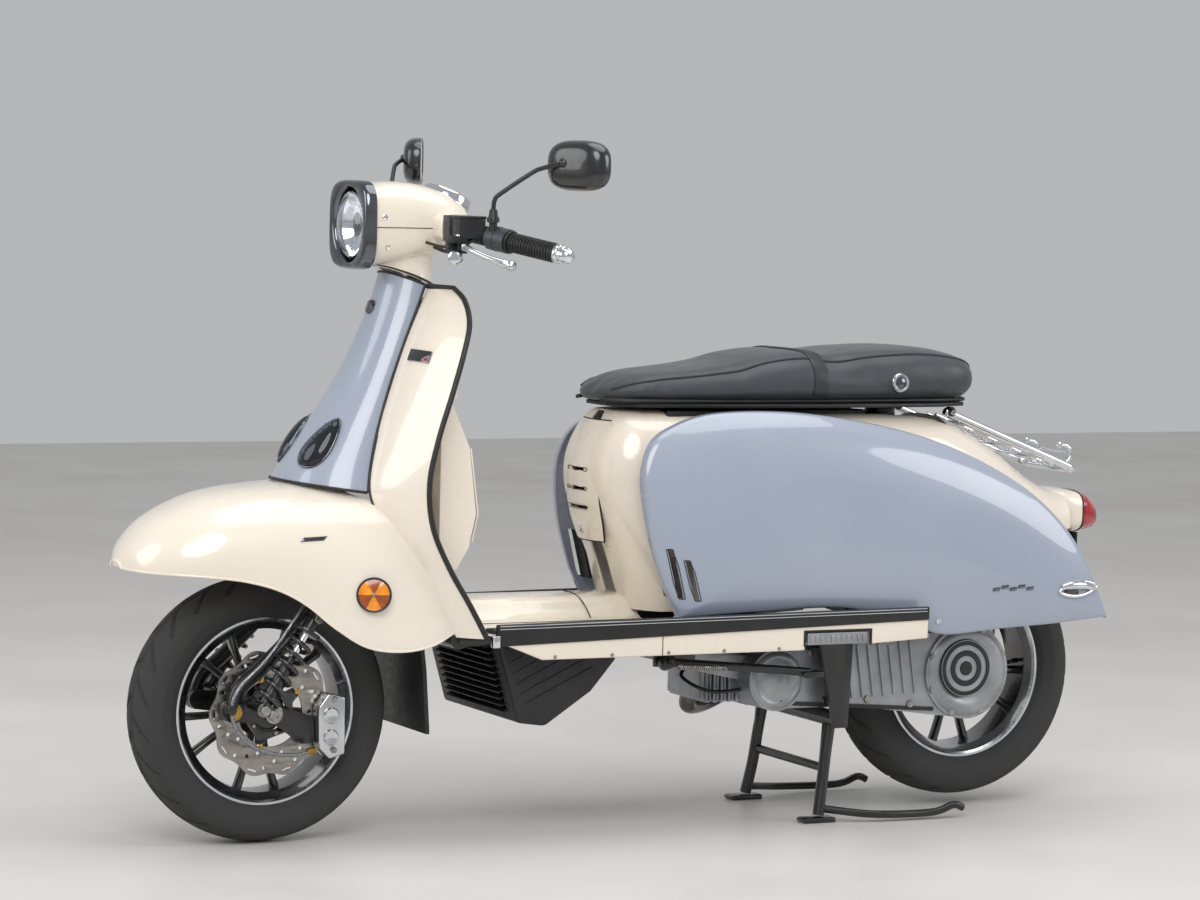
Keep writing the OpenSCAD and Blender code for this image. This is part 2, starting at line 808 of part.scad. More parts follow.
module tyre(r, w) {
  half = tyre_half(r, w);
  curve = smooth(half, 3);
  outer = concat(curve, [[r, 0]], [for (i = [len(curve) - 1 : -1 : 0]) [curve[i][0], -curve[i][1]]]);
  inner = [[rim_r - 4, -w * 0.3], [r - 14, -w * 0.3], [r - 10, 0], [r - 14, w * 0.3], [rim_r - 4, w * 0.3]];
  rotate([90, 0, 0]) rotate_extrude($fn = 96) polygon(concat(outer, inner));
}

module front_tyre() {
  color(black) translate(front_axle) tyre(front_r, front_w);
}

module rear_tyre() {
  color(black) translate(rear_axle) tyre(rear_r, rear_w);
}

// Rim of half width w, hub of half width h and five pairs of spokes round a bore.
module rim(w, h, bore) {
  rotate([90, 0, 0]) difference() {
    union() {
      rotate_extrude($fn = 96) polygon([
        [rim_r - 5, w], [rim_r - 5, w - 6], [rim_r - 22, w - 14], [rim_r - 22, 14 - w], [rim_r - 5, 6 - w],
        [rim_r - 5, -w], [rim_r - 9, -w], [rim_r - 28, 10 - w], [rim_r - 28, w - 10], [rim_r - 9, w]
      ]);
      translate([0, 0, -h]) cylinder(h = 2 * h, r = 30);
      translate([0, 0, -9]) cylinder(h = 18, r = 46);
      for (k = [0 : 4]) for (s = [-13, 13]) rotate([0, 0, 72 * k + 18 + s])
        translate([34, -6, -10]) cube([rim_r - 59, 12, 20]);
    }
    translate([0, 0, -h - 1]) cylinder(h = 2 * h + 2, r = bore);
  }
}

module front_rim() {
  color(grey) translate(front_axle) rim(front_w * 0.36, 55, 8 + running_gap);
}

module rear_rim() {
  color(grey) translate(rear_axle) rim(rear_w * 0.36, 52, 9 + running_gap);
}

disc_r = 112;

module brake_disc() {
  color(chrome) translate(front_axle + [0, 66, 0]) rotate([90, 0, 0]) linear_extrude(4) difference() {
    union() {
      circle(r = disc_r - 5);
      for (k = [0 : 9]) rotate(36 * k) translate([disc_r - 18, 0]) circle(r = 18);
    }
    circle(r = 56);
    for (k = [0 : 19]) rotate(18 * k) translate([80 + 14 * (k % 2), 0]) circle(r = 4.5);
  }
  color(black) translate(front_axle + [0, 66, 0]) rotate([90, 0, 0]) linear_extrude(11) difference() {
    union() {
      circle(r = 44);
      for (k = [0 : 4]) rotate(72 * k) translate([20, -7]) square([48, 14]);
    }
    circle(r = 31);
  }
}

// ---- engine and rear wheel ----

module engine_case() {
  color(grey) {
    difference() {
      union() {
        side_plate([
          [-620, 350], [-230, 318], [-190, 300], [-190, 226], [-236, 210], [-400, 208], [-560, 186], [-632, 178]
        ], 66, 138);
        across_y([-627, 0, 264], 66, 144, 87);
        across_y([-230, 0, 262], 60, 142, 56);
        across_y(rear_axle, 56, 100, 46);
      }
      across_y(rear_axle, 50, 112, 9);
    }
    translate([-400, -104, 208]) cube([190, 172, 106]);
    translate([-212, -62, 222]) cube([98, 124, 96]);
    for (k = [0 : 5]) translate([-206 + 15 * k, -72, 216]) cube([7, 144, 108]);
    pair() difference() {
      union() {
        side_plate([[-62, 316], [-62, 284], [-220, 250], [-220, 300]], 78, 96);
        across_y(engine_pivot, 78, 96, 16);
        side_plate([[-206, 300], [-222, 300], [-222, 250], [-206, 250]], 58, 96);
      }
      across_y(engine_pivot, 70, 104, 8 + running_gap);
    }
    across_y(rear_axle, -86, 110, 9);
    side_plate([[-678, 280], [-678, 228], [-420, 214], [-380, 214], [-380, 300], [-420, 300]], -86, -78);
    translate([-404, -86, 214]) cube([40, 20, 86]);
    side_plate([[-664, 255], [-704, 255], [-702, 380], [-680, 380]], -86, -78);
    side_plate([[-664, 320], [-704, 320], [-702, 380], [-680, 380]], 96, 106);
    across_y([-690, 0, 368], -134, -78, 9);
    across_y([-690, 0, 368], 80, 134, 9);
  }
  color(black) {
    across_y([-618, 0, 272], 140, 156, 52);
    side_plate([[-420, 330], [-590, 340], [-590, 412], [-430, 400]], 66, 106);
  }
}

module muffler() {
  color(grey) {
    difference() {
      union() {
        rod([-420, -134, 262], [-830, -138, 300], 44);
        rod([-828, -138, 299.8], [-852, -138, 302], 14);
      }
      rod([-424, -134, 262.4], [-826, -138, 299.6], 41);
      rod([-800, -138, 297.2], [-856, -138, 302.4], 10);
    }
    pipe([[-150, -40, 226], [-150, -60, 190], [-220, -120, 190], [-330, -134, 240], [-430, -134, 262]], 15);
    side_plate([[-470, 250], [-520, 250], [-520, 290], [-470, 290]], -100, -86);
  }
}

module rear_spring() {
  color(black) pair() translate([-690, 106, 368]) rotate([0, 15, 0]) {
    translate([0, 0, 12]) coil(21, 5, 200, 7, 10);
    translate([0, 0, 10]) cylinder(h = 220, r = 10);
    translate([0, 0, 210]) cylinder(h = 8, r = 26);
  }
}

// ---- stands and pegs ----

module centre_stand() {
  color(black) {
    difference() {
      across_y(stand_pivot, -158, 158, 15);
      across_y(stand_pivot, -160, 160, 8);
    }
    pair() {
      pipe([[-350, 128, 176], [-336, 132, 80], [-324, 140, 10]], 10);
      translate([-350, 124, 0]) cube([58, 32, 8]);
    }
    rod([-340, -128, 96], [-340, 128, 96], 8);
    pipe([[-330, 138, 24], [-420, 172, 14], [-540, 176, 12], [-586, 178, 24], [-606, 178, 16]], 7);
  }
}

module side_stand() {
  color(black) {
    swept(smooth([[6, 186, 307], [-40, 186, 303], [-180, 186, 290], [-270, 186, 281]], 2), 8);
    difference() {
      rod(side_pivot - 12 * side_axis, side_pivot + 12 * side_axis, 12);
      rod(side_pivot - 14 * side_axis, side_pivot + 14 * side_axis, 5 + running_gap);
    }
    translate([-296, 172, 272]) cube([40, 28, 10]);
  }
}

module footpeg() {
  color(chrome) {
    translate([peg_x[0] + 3, 226, 336]) cube([peg_x[1] - peg_x[0] - 6, 13, 22]);
    rod([peg_x[0] + 0.5, 232, 339], [peg_x[1] - 0.5, 232, 339], 3);
  }
}

module footpeg_left() {
  footpeg();
}

module footpeg_right() {
  mirror([0, 1, 0]) footpeg();
}

main_frame();
steering_bearings();
front_fender();
splash_guard();
horncast();
horncast_lamps();
legshield();
side_reflectors();
glovebox();
glovebox_lid();
ignition_lock();
floorboard();
runner_strips();
side_sills();
radiator_shroud();
radiator();
body_shell();
access_cover();
side_panels();
panel_handles();
rear_rack();
tail_lamp_housing();
tail_lens();
storage_bucket();
fuel_tank();
seat_base();
seat_cushion();
seat_buttons();
fork();
headset();
headlamp_bezel();
headlamp_lens();
instrument();
handlebar();
left_grip();
switch_pods();
master_cylinders();
brake_hose();
front_spring();
throttle_grip();
brake_lever_left();
brake_lever_right();
mirror_left();
mirror_right();
horn_button();
start_button();
front_link();
brake_caliper();
front_tyre();
front_rim();
brake_disc();
engine_case();
muffler();
rear_spring();
rear_tyre();
rear_rim();
centre_stand();
side_stand();
footpeg_left();
footpeg_right();
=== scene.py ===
"""A retro two-tone scooter on its centre stand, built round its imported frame."""

import math

import bmesh
import bpy
from mathutils import Matrix, Vector
from mathutils.bvhtree import BVHTree


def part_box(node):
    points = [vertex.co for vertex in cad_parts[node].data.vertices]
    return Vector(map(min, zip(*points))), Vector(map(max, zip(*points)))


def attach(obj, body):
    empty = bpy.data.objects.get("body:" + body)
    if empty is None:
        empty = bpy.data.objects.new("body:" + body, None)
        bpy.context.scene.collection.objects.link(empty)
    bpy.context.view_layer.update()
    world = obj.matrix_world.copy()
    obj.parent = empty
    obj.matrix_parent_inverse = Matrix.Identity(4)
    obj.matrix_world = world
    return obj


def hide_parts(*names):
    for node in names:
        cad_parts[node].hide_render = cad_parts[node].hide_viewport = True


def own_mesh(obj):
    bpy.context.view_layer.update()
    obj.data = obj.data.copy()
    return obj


bl_info = {
    "name": "Retro two-tone scooter",
    "version": (1, 0, 0),
    "blender": (4, 5, 0),
    "location": "3D View > Sidebar > Scooter",
    "description": "Dresses the packed scooter in painted panels, vinyl, chrome and rubber",
    "category": "Add Mesh",
}

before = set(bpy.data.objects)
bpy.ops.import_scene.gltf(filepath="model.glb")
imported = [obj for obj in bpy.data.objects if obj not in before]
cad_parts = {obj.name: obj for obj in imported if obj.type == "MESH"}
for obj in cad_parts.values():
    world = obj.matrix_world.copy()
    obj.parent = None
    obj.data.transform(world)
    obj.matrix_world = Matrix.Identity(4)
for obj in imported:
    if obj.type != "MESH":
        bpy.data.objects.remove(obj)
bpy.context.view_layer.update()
MM = 0.001

# ---- the lines the panels are drawn from, in millimetres ----

# Mudguard hoops: foot x, half width, foot z, crown x, crown z, bulge, squareness.
MUDGUARD = [
    (976, 26, 481, 980, 492, 0, 2.2), (955, 82, 479, 962, 524, 0, 2.3), (912, 122, 477, 920, 564, 0, 2.4),
    (858, 145, 474, 850, 598, 0, 2.5), (800, 157, 467, 790, 613, 0, 2.6), (745, 168, 452, 730, 620, 0, 2.7),
    (698, 178, 427, 690, 623, 0, 2.8), (650, 190, 388, 668, 624, 0, 2.9), (596, 201, 355, 656, 624, 0, 3),
    (538, 208, 346, 650, 624, 0, 3), (482, 212, 354, 645, 623, 0, 3), (438, 210, 376, 640, 622, 0, 3),
]
# Horncast sections: seam x, seam half width, seam z, crown x, crown z.
HORNCAST = [
    (572, 132, 612, 684, 626), (563, 118, 650, 660, 668), (546, 101, 706, 618, 728), (518, 84, 782, 576, 794),
    (487, 72, 858, 542, 860), (458, 65, 926, 514, 928), (442, 62, 966, 496, 986),
]
# Legshield rows: inner seam point, outer edge point.
LEGSHIELD = [
    ((438, 64, 964), (412, 118, 962)), ((440, 64, 954), (412, 165, 942)), ((456, 67, 922), (418, 200, 905)),
    ((484, 74, 860), (434, 217, 858)), ((515, 86, 783), (460, 229, 786)), ((543, 103, 708), (486, 234, 710)),
    ((568, 134, 612), (502, 236, 634)), ((540, 160, 545), (494, 236, 560)),
    ((500, 184, 472), (462, 236, 490)),
    ((462, 202, 408), (422, 236, 425)), ((436, 208, 368), (388, 236, 366)),
]
# Body hoops, in the mudguard's columns.
BODY = [
    (30, 24, 390, 64, 744, 70, 6), (24, 80, 390, 60, 745, 64, 5), (-4, 118, 390, 46, 746, 50, 4.6),
    (-40, 138, 392, 18, 747, 32, 4.4), (-90, 147, 396, -30, 748, 14, 4.4),
    (-170, 148, 410, -110, 748, 6, 4.4),
    (-260, 148, 450, -230, 748, 0, 4.4), (-360, 148, 478, -350, 748, 0, 4.4),
    (-470, 148, 486, -470, 747, 0, 4.2),
    (-560, 147, 490, -560, 742, 0, 3.8), (-640, 142, 492, -640, 716, 0, 3.4),
    (-720, 130, 496, -720, 672, 0, 3),
    (-790, 112, 504, -790, 624, 0, 2.8), (-848, 92, 512, -848, 594, 0, 2.7),
    (-884, 80, 520, -884, 586, 0, 2.7),
]
# Access cover: middle x, half width, z, drop of the sides.
COVER = [(84, 56, 726, 12), (98, 64, 690, 12), (113, 66, 640, 13), (112, 66, 590, 13), (103, 64, 545, 13),
    (92, 54, 510, 12)]
SIDE_PANEL = [
    (8, 397), (20, 420), (34, 450), (58, 525), (70, 600), (68, 652), (48, 696), (8, 722), (-60, 743),
    (-160, 749),
    (-270, 744), (-390, 727), (-490, 705), (-580, 675), (-660, 638), (-724, 600), (-778, 556), (-822, 506),
    (-852, 455), (-876, 405), (-889, 373), (-891, 366), (-884, 364.5), (-790, 356), (-660, 349), (-540, 342),
    (-470, 366), (-330, 396), (-160, 394), (-8, 388.5), (4, 388.5),
]
PANEL_MIDDLE = (-330, 560)
# Seat sections: x, half width, low z, high z, squareness.
SEAT = [
    (94, 30, 762, 778, 2.4), (84, 62, 760, 790, 2.6), (50, 92, 759.5, 800, 2.9), (-10, 112, 759.5, 808, 3.1),
    (-80, 126, 759.5, 815, 3.2), (-150, 136, 759.5, 825, 3.3), (-210, 143, 759.5, 840, 3.4),
    (-280, 147, 759.5, 848, 3.5), (-350, 147, 759.5, 844, 3.6), (-420, 146, 759.5, 851, 3.6),
    (-520, 143, 759.5, 855, 3.6), (-600, 134, 760, 849, 3.4), (-640, 116, 763, 838, 3),
    (-654, 90, 772, 824, 2.6),
]
HEADSET = [
    (543, 78, 996, 1138, 3.4), (500, 84, 1000, 1143, 3.2), (455, 92, 1008, 1141, 3),
    (410, 92, 1018, 1130, 2.8),
    (372, 74, 1036, 1112, 2.6), (357, 52, 1050, 1098, 2.4),
]
TAIL = [(-858, 50, 510, 590, 3.2), (-884, 58, 506, 591, 3.4), (-906, 60, 506, 588, 3.4),
    (-926, 58, 508, 584, 3.4)]
TAIL_LENS = [(-926.5, 56, 510, 582, 3.2), (-945, 52, 510, 578, 3), (-966, 40, 513, 562, 2.6),
    (-979, 20, 518, 546, 2.2)]
RACK = [(-592, 96, 742), (-640, 96, 724), (-850, 93, 643), (-876, 84, 633), (-885, 64, 629.5)]
FORK_LEG = [(596, 78, 556), (626, 92, 470), (662, 92, 396), (738, 92, 318), (784, 92, 278), (797, 92, 240)]
HOSE = [
    (640, 112, 470), (690, 112, 400), (742, 112, 330), (792, 114, 282), (806, 114, 240), (786, 113, 196),
    (744, 112, 170), (690, 110, 162), (650, 106, 168),
]
LEVER = [(436, 214, 1035), (434, 240, 1030), (420, 268, 1020), (404, 290, 1012), (393, 300, 1008)]

FRONT_AXLE = Vector((716, 0, 229.5))
REAR_AXLE = Vector((-678, 0, 253.2))
BAR_ROOT = Vector((423, 120, 1067))
BAR_DIR = Vector((-0.4087, 0.9029, -0.1521))
RIM_RADIUS = 166.5
SIDE = Vector((0, 1, 0))
FORWARD = Vector((1, 0, 0))
UP = Vector((0, 0, 1))

# ---- curves and meshes ----


def linear(colour):
    """An sRGB hex colour as linear red, green, blue and full alpha."""
    channels = [int(colour[i : i + 2], 16) / 255 for i in (1, 3, 5)]
    return (*[c / 12.92 if c <= 0.04045 else ((c + 0.055) / 1.055) ** 2.4 for c in channels], 1)


def catmull(a, b, c, d, t):
    return tuple(
        0.5 * (2 * q + (r - p) * t + (2 * p - 5 * q + 4 * r - s) * t * t + (3 * q - p - 3 * r + s) * t * t
        * t)
        for p, q, r, s in zip(a, b, c, d)
    )


def smooth(rows, steps):
    """An open run of rows or points with steps between each two."""
    end = len(rows) - 1
    run = [
        catmull(rows[max(i - 1, 0)], rows[i], rows[i + 1], rows[min(i + 2, end)], j / steps)
        for i in range(end)
        for j in range(steps)
    ]
    return run + [tuple(rows[end])]


def smooth_ring(rows, steps):
    count = len(rows)
    return [
        catmull(rows[i - 1], rows[i], rows[(i + 1) % count], rows[(i + 2) % count], j / steps)
        for i in range(count)
        for j in range(steps)
    ]


def bend(value, power):
    return math.copysign(abs(value) ** power, value)


def hoops(rows, steps, columns, lean):
    """Half hoops from the left foot over the crown to the right foot."""
    grid = []
    for x_foot, half, z_foot, x_crown, z_crown, bulge, squareness in smooth(rows, steps):
        power = 2 / squareness
        hoop = []
        for j in range(columns + 1):
            angle = math.pi * j / columns
            rise = abs(math.sin(angle))
            height = rise**power
            hoop.append((
                x_foot + (x_crown - x_foot) * rise**lean + bulge * math.sin(math.pi * height**1.5),
                half * bend(math.cos(angle), power),
                z_foot + (z_crown - z_foot) * height,
            ))
        grid.append(hoop)
    return grid


def bows(rows, steps, columns):
    """Sections bowed forwards from the left seam to the right seam."""
    return [
        [
            (xs + (xc - xs) * s, half * bend(math.cos(a), 0.8), zs + (zc - zs) * s)
            for a in [math.pi * j / columns for j in range(columns + 1)]
            for s in [abs(math.sin(a)) ** 1.15]
        ]
        for xs, half, zs, xc, zc in smooth(rows, steps)
    ]


def loops(rows, steps, columns):
    """Squarish rings across X."""
    return [
        [
            (x, half * bend(math.cos(a), 2 / n), (low + high) / 2 + (high - low) / 2 * bend(math.sin(a),
            2 / n))
            for a in [math.tau * j / columns for j in range(columns)]
        ]
        for x, half, low, high, n in smooth(rows, steps)
    ]


def squircle(half_w, half_h, squareness, count):
    return [
        (half_w * bend(math.cos(a), 2 / squareness), half_h * bend(math.sin(a), 2 / squareness))
        for a in [math.tau * j / count for j in range(count)]
    ]


def shade(obj, soft=38):
    """Smooth faces with sharp edges past the soft angle."""
    obj.data.polygons.foreach_set("use_smooth", [True] * len(obj.data.polygons))
    obj.data.set_sharp_from_angle(angle=math.radians(soft))
    return obj


def mesh_piece(name, points, faces, finish, soft=38):
    """An object at the origin from points in millimetres."""
    mesh = bpy.data.meshes.new(name)
    mesh.from_pydata([(x * MM, y * MM, z * MM) for x, y, z in points], [], faces)
    obj = bpy.data.objects.new(name, mesh)
    bpy.context.scene.collection.objects.link(obj)
    mesh.materials.append(material(finish))
    return shade(obj, soft)


def outward(obj, merge=0.02, inside=None):
    """Merges doubles and points every face out, or away from a point inside in millimetres."""
    bm = bmesh.new()
    bm.from_mesh(obj.data)
    bmesh.ops.remove_doubles(bm, verts=bm.verts, dist=merge * MM)
    bmesh.ops.dissolve_degenerate(bm, edges=bm.edges, dist=1e-6)
    bmesh.ops.recalc_face_normals(bm, faces=bm.faces)
    if inside is not None:
        heart = Vector(inside) * MM
        if sum(f.calc_area() * f.normal.dot(f.calc_center_median() - heart) for f in bm.faces) < 0:
            bmesh.ops.reverse_faces(bm, faces=bm.faces)
    bm.to_mesh(obj.data)
    bm.free()
    return shade(obj)


def settle(obj, soft=38):
    """Turns the evaluated piece into a plain mesh with no modifiers."""
    bpy.context.view_layer.update()
    mesh = bpy.data.meshes.new_from_object(obj.evaluated_get(bpy.context.evaluated_depsgraph_get()))
    obj.modifiers.clear()
    obj.data = mesh
    return shade(obj, soft)


def rounded(obj, width, segments=2, angle=32):
    """Rounds the sharp edges by a width in millimetres."""
    bevel = obj.modifiers.new("edges", "BEVEL")
    bevel.width, bevel.segments, bevel.angle_limit = width * MM, segments, math.radians(angle)
    bevel.limit_method = "ANGLE"
    bevel.miter_outer = "MITER_ARC"
    flat = obj.modifiers.new("flat", "WEIGHTED_NORMAL")
    flat.keep_sharp = True
    return settle(obj)


def panel(name, grid, thickness, inside, finish, closed=False, edge=0.8, drop=None):
    """A sheet through a grid of points, with its wall on the inner side and soft edges."""
    across = len(grid[0])
    points = [p for row in grid for p in row]
    faces = [
        (i * across + j, i * across + (j + 1) % across, (i + 1) * across + (j + 1) % across,
        (i + 1) * across + j)
        for i in range(len(grid) - 1)
        for j in range(across if closed else across - 1)
    ]
    if drop:
        faces = [f for f in faces if not drop(sum((Vector(points[k]) for k in f), Vector()) / 4)]
    obj = outward(mesh_piece(name, points, faces, finish), inside=inside)
    wall = obj.modifiers.new("wall", "SOLIDIFY")
    wall.thickness, wall.offset, wall.use_even_offset = thickness * MM, -1, True
    if edge:
        bevel = obj.modifiers.new("edges", "BEVEL")
        bevel.width, bevel.segments = edge * MM, 2
        bevel.limit_method, bevel.angle_limit = "ANGLE", math.radians(50)
    return settle(obj)


def skin(name, rings, finish, caps=(True, True), soft=38):
    """A closed form through rings of equal length."""
    count = len(rings[0])
    points = [p for ring in rings for p in ring]
    faces = [
        (i * count + j, i * count + (j + 1) % count, (i + 1) * count + (j + 1) % count, (i + 1) * count + j)
        for i in range(len(rings) - 1)
        for j in range(count)
    ]
    last = (len(rings) - 1) * count
    if caps[0]:
        faces.append(tuple(range(count)))
    if caps[1]:
        faces.append(tuple(last + j for j in range(count)))
    obj = outward(mesh_piece(name, points, faces, finish))
    return shade(obj, soft)


def tube(name, path, radius, finish, sides=16, caps=True, closed=False):
    """A round tube along a path; radius is a number or one for each point."""
    points = [Vector(p) for p in path]
    count = len(points)
    radii = radius if isinstance(radius, (list, tuple)) else [radius] * count
    rings, normal = [], None
    for i, p in enumerate(points):
        ahead = points[(i + 1) % count] if closed else points[min(i + 1, count - 1)]
        behind = points[i - 1] if closed or i else points[0]
        along = (ahead - behind).normalized()
        if normal is None:
            normal = along.orthogonal()
        normal = (normal - normal.dot(along) * along).normalized()
        cross = along.cross(normal)
        rings.append([
            p + radii[i] * (math.cos(math.tau * j / sides) * normal + math.sin(math.tau * j / sides) * cross)
            for j in range(sides)
        ])
    if closed:
        rings.append(rings[0])
        return skin(name, rings, finish, (False, False))
    return skin(name, rings, finish, (caps, caps))


def lathe(name, profile, centre, axis, finish, turns=72, ring=False, soft=38):
    """A turned piece: profile is (radius, distance along the axis) pairs."""
    axis = Vector(axis).normalized()
    side = axis.orthogonal().normalized()
    other = axis.cross(side)
    centre = Vector(centre)
    points, count = [], len(profile)
    for i in range(turns):
        a = math.tau * i / turns
        direction = math.cos(a) * side + math.sin(a) * other
        points += [centre + r * direction + h * axis for r, h in profile]
    faces = [
        (i * count + j, i * count + (j + 1) % count, (i + 1) % turns * count + (j + 1) % count,
        (i + 1) % turns * count + j)
        for i in range(turns)
        for j in range(count if ring else count - 1)
    ]
    obj = mesh_piece(name, points, faces, finish)
    bm = bmesh.new()
    bm.from_mesh(obj.data)
    bmesh.ops.remove_doubles(bm, verts=bm.verts, dist=0.01 * MM)
    bmesh.ops.dissolve_degenerate(bm, edges=bm.edges, dist=1e-7)
    holes = [e for e in bm.edges if e.is_boundary]
    if holes:
        bmesh.ops.holes_fill(bm, edges=holes, sides=0)
    bmesh.ops.recalc_face_normals(bm, faces=bm.faces)
    bm.to_mesh(obj.data)
    bm.free()
    return shade(obj, soft)


def slab(name, outline, low, high, finish, axis="y", edge=1.0, segments=2):
    """An outline carried from low to high along an axis, with rounded edges."""
    place = {
        "y": lambda p, h: (p[0], h, p[1]),
        "x": lambda p, h: (h, p[0], p[1]),
        "z": lambda p, h: (p[0], p[1], h),
    }[axis]
    obj = skin(name, [[place(p, low) for p in outline], [place(p, high) for p in outline]], finish)
    return rounded(obj, edge, segments) if edge else obj


def block(name, low, high, finish, edge=1.0, segments=2):
    (x0, y0, z0), (x1, y1, z1) = low, high
    return slab(name, [(x0, y0), (x1, y0), (x1, y1), (x0, y1)], z0, z1, finish, "z", edge, segments)


def plate(name, outlines, thickness, frame_matrix, finish, edge=0.4):
    """A flat plate from a filled outer outline and its holes, carried to a place."""
    curve = bpy.data.curves.new(name, "CURVE")
    curve.dimensions, curve.fill_mode = "2D", "BOTH"
    curve.extrude, curve.bevel_depth, curve.bevel_resolution, curve.offset = (
        (thickness / 2 - edge) * MM, edge * MM, 1, -edge * MM,
    )
    for outline in outlines:
        spline = curve.splines.new("POLY")
        spline.points.add(len(outline) - 1)
        for point, (x, y) in zip(spline.points, outline):
            point.co = (x * MM, y * MM, 0, 1)
        spline.use_cyclic_u = True
    flat = bpy.data.objects.new(name, curve)
    bpy.context.scene.collection.objects.link(flat)
    bpy.context.view_layer.update()
    mesh = bpy.data.meshes.new_from_object(flat.evaluated_get(bpy.context.evaluated_depsgraph_get()))
    bpy.data.objects.remove(flat)
    mesh.transform(frame_matrix)
    mesh.materials.clear()
    mesh.materials.append(material(finish))
    mesh.name = name
    obj = bpy.data.objects.new(name, mesh)
    bpy.context.scene.collection.objects.link(obj)
    return outward(obj, 0.01)


def circle(radius, count=48, centre=(0, 0)):
    return [
        (centre[0] + radius * math.cos(math.tau * j / count),
        centre[1] + radius * math.sin(math.tau * j / count))
        for j in range(count)
    ]


def basis(origin, right, up):
    """The matrix that stands a flat XY outline at an origin in millimetres."""
    right = Vector(right).normalized()
    out = right.cross(Vector(up)).normalized()
    up = out.cross(right)
    matrix = Matrix((right, up, out)).transposed().to_4x4()
    matrix.translation = Vector(origin) * MM
    return matrix


def joined(name, objects):
    """One object from several, each keeping its finish."""
    bpy.context.view_layer.update()
    with bpy.context.temp_override(active_object=objects[0], object=objects[0], selected_objects=objects,
                                   selected_editable_objects=objects):
        bpy.ops.object.join()
    objects[0].name = objects[0].data.name = name
    return objects[0]


def twin(obj, name=None):
    """The piece's mirror image on the other side."""
    other = obj.copy()
    other.data = obj.data.copy()
    other.data.transform(Matrix.Scale(-1, 4, SIDE))
    other.data.flip_normals()
    bpy.context.scene.collection.objects.link(other)
    if name:
        other.name = other.data.name = name
    return other


def both(obj):
    """The piece and its mirror image as one."""
    return joined(obj.name, [obj, twin(obj)])


def carried(obj, body, slot, *nodes):
    """Rides the piece on its body and hides what it stands for; its slot argument is not used."""
    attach(obj, body)
    if nodes:
        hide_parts(*nodes)
    return obj


def refined(node, finish, edge=1.0, name=None, angle=32, segments=2):
    """A CAD node's own shape with merged faces, rounded edges and a finish."""
    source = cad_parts[node]
    mesh = source.data.copy()
    obj = bpy.data.objects.new(name or node + "_made", mesh)
    bpy.context.scene.collection.objects.link(obj)
    mesh.materials.clear()
    mesh.materials.append(material(finish))
    bm = bmesh.new()
    bm.from_mesh(mesh)
    for face in bm.faces:
        face.material_index = 0
    bmesh.ops.remove_doubles(bm, verts=bm.verts, dist=0.004 * MM)
    bmesh.ops.dissolve_degenerate(bm, edges=bm.edges, dist=1e-6)
    bmesh.ops.dissolve_limit(bm, angle_limit=math.radians(0.6), verts=bm.verts, edges=bm.edges)
    bm.to_mesh(mesh)
    bm.free()
    mesh.name = obj.name
    return rounded(obj, edge, segments, angle) if edge else shade(obj)


def cut(obj, *cutters):
    """Cuts closed pieces out of another."""
    for cutter in cutters:
        hole = obj.modifiers.new("hole", "BOOLEAN")
        hole.operation, hole.solver, hole.object = "DIFFERENCE", "EXACT", cutter
    settle(obj, 32)
    for cutter in cutters:
        bpy.data.objects.remove(cutter)
    return obj


def touch(obj, start, towards):
    """Where a line in millimetres first meets a piece, and the surface's direction there."""
    bpy.context.view_layer.update()
    tree = BVHTree.FromObject(obj, bpy.context.evaluated_depsgraph_get())
    way = Vector(towards).normalized()
    place, normal, _, _ = tree.ray_cast(Vector(start) * MM, way)
    if place is None:
        raise RuntimeError(f"nothing of {obj.name} lies that way")
    return place / MM, normal if normal.dot(way) < 0 else -normal

# ---- finishes ----


def add(tree, kind, values=None, links=None, **settings):
    """A node of one kind with its settings, socket values and incoming links."""
    node = tree.nodes.new(kind)
    for key, value in settings.items():
        setattr(node, key, value)
    for key, value in (values or {}).items():
        node.inputs[key].default_value = value
    for key, value in (links or {}).items():
        tree.links.new(value, node.inputs[key])
    return node


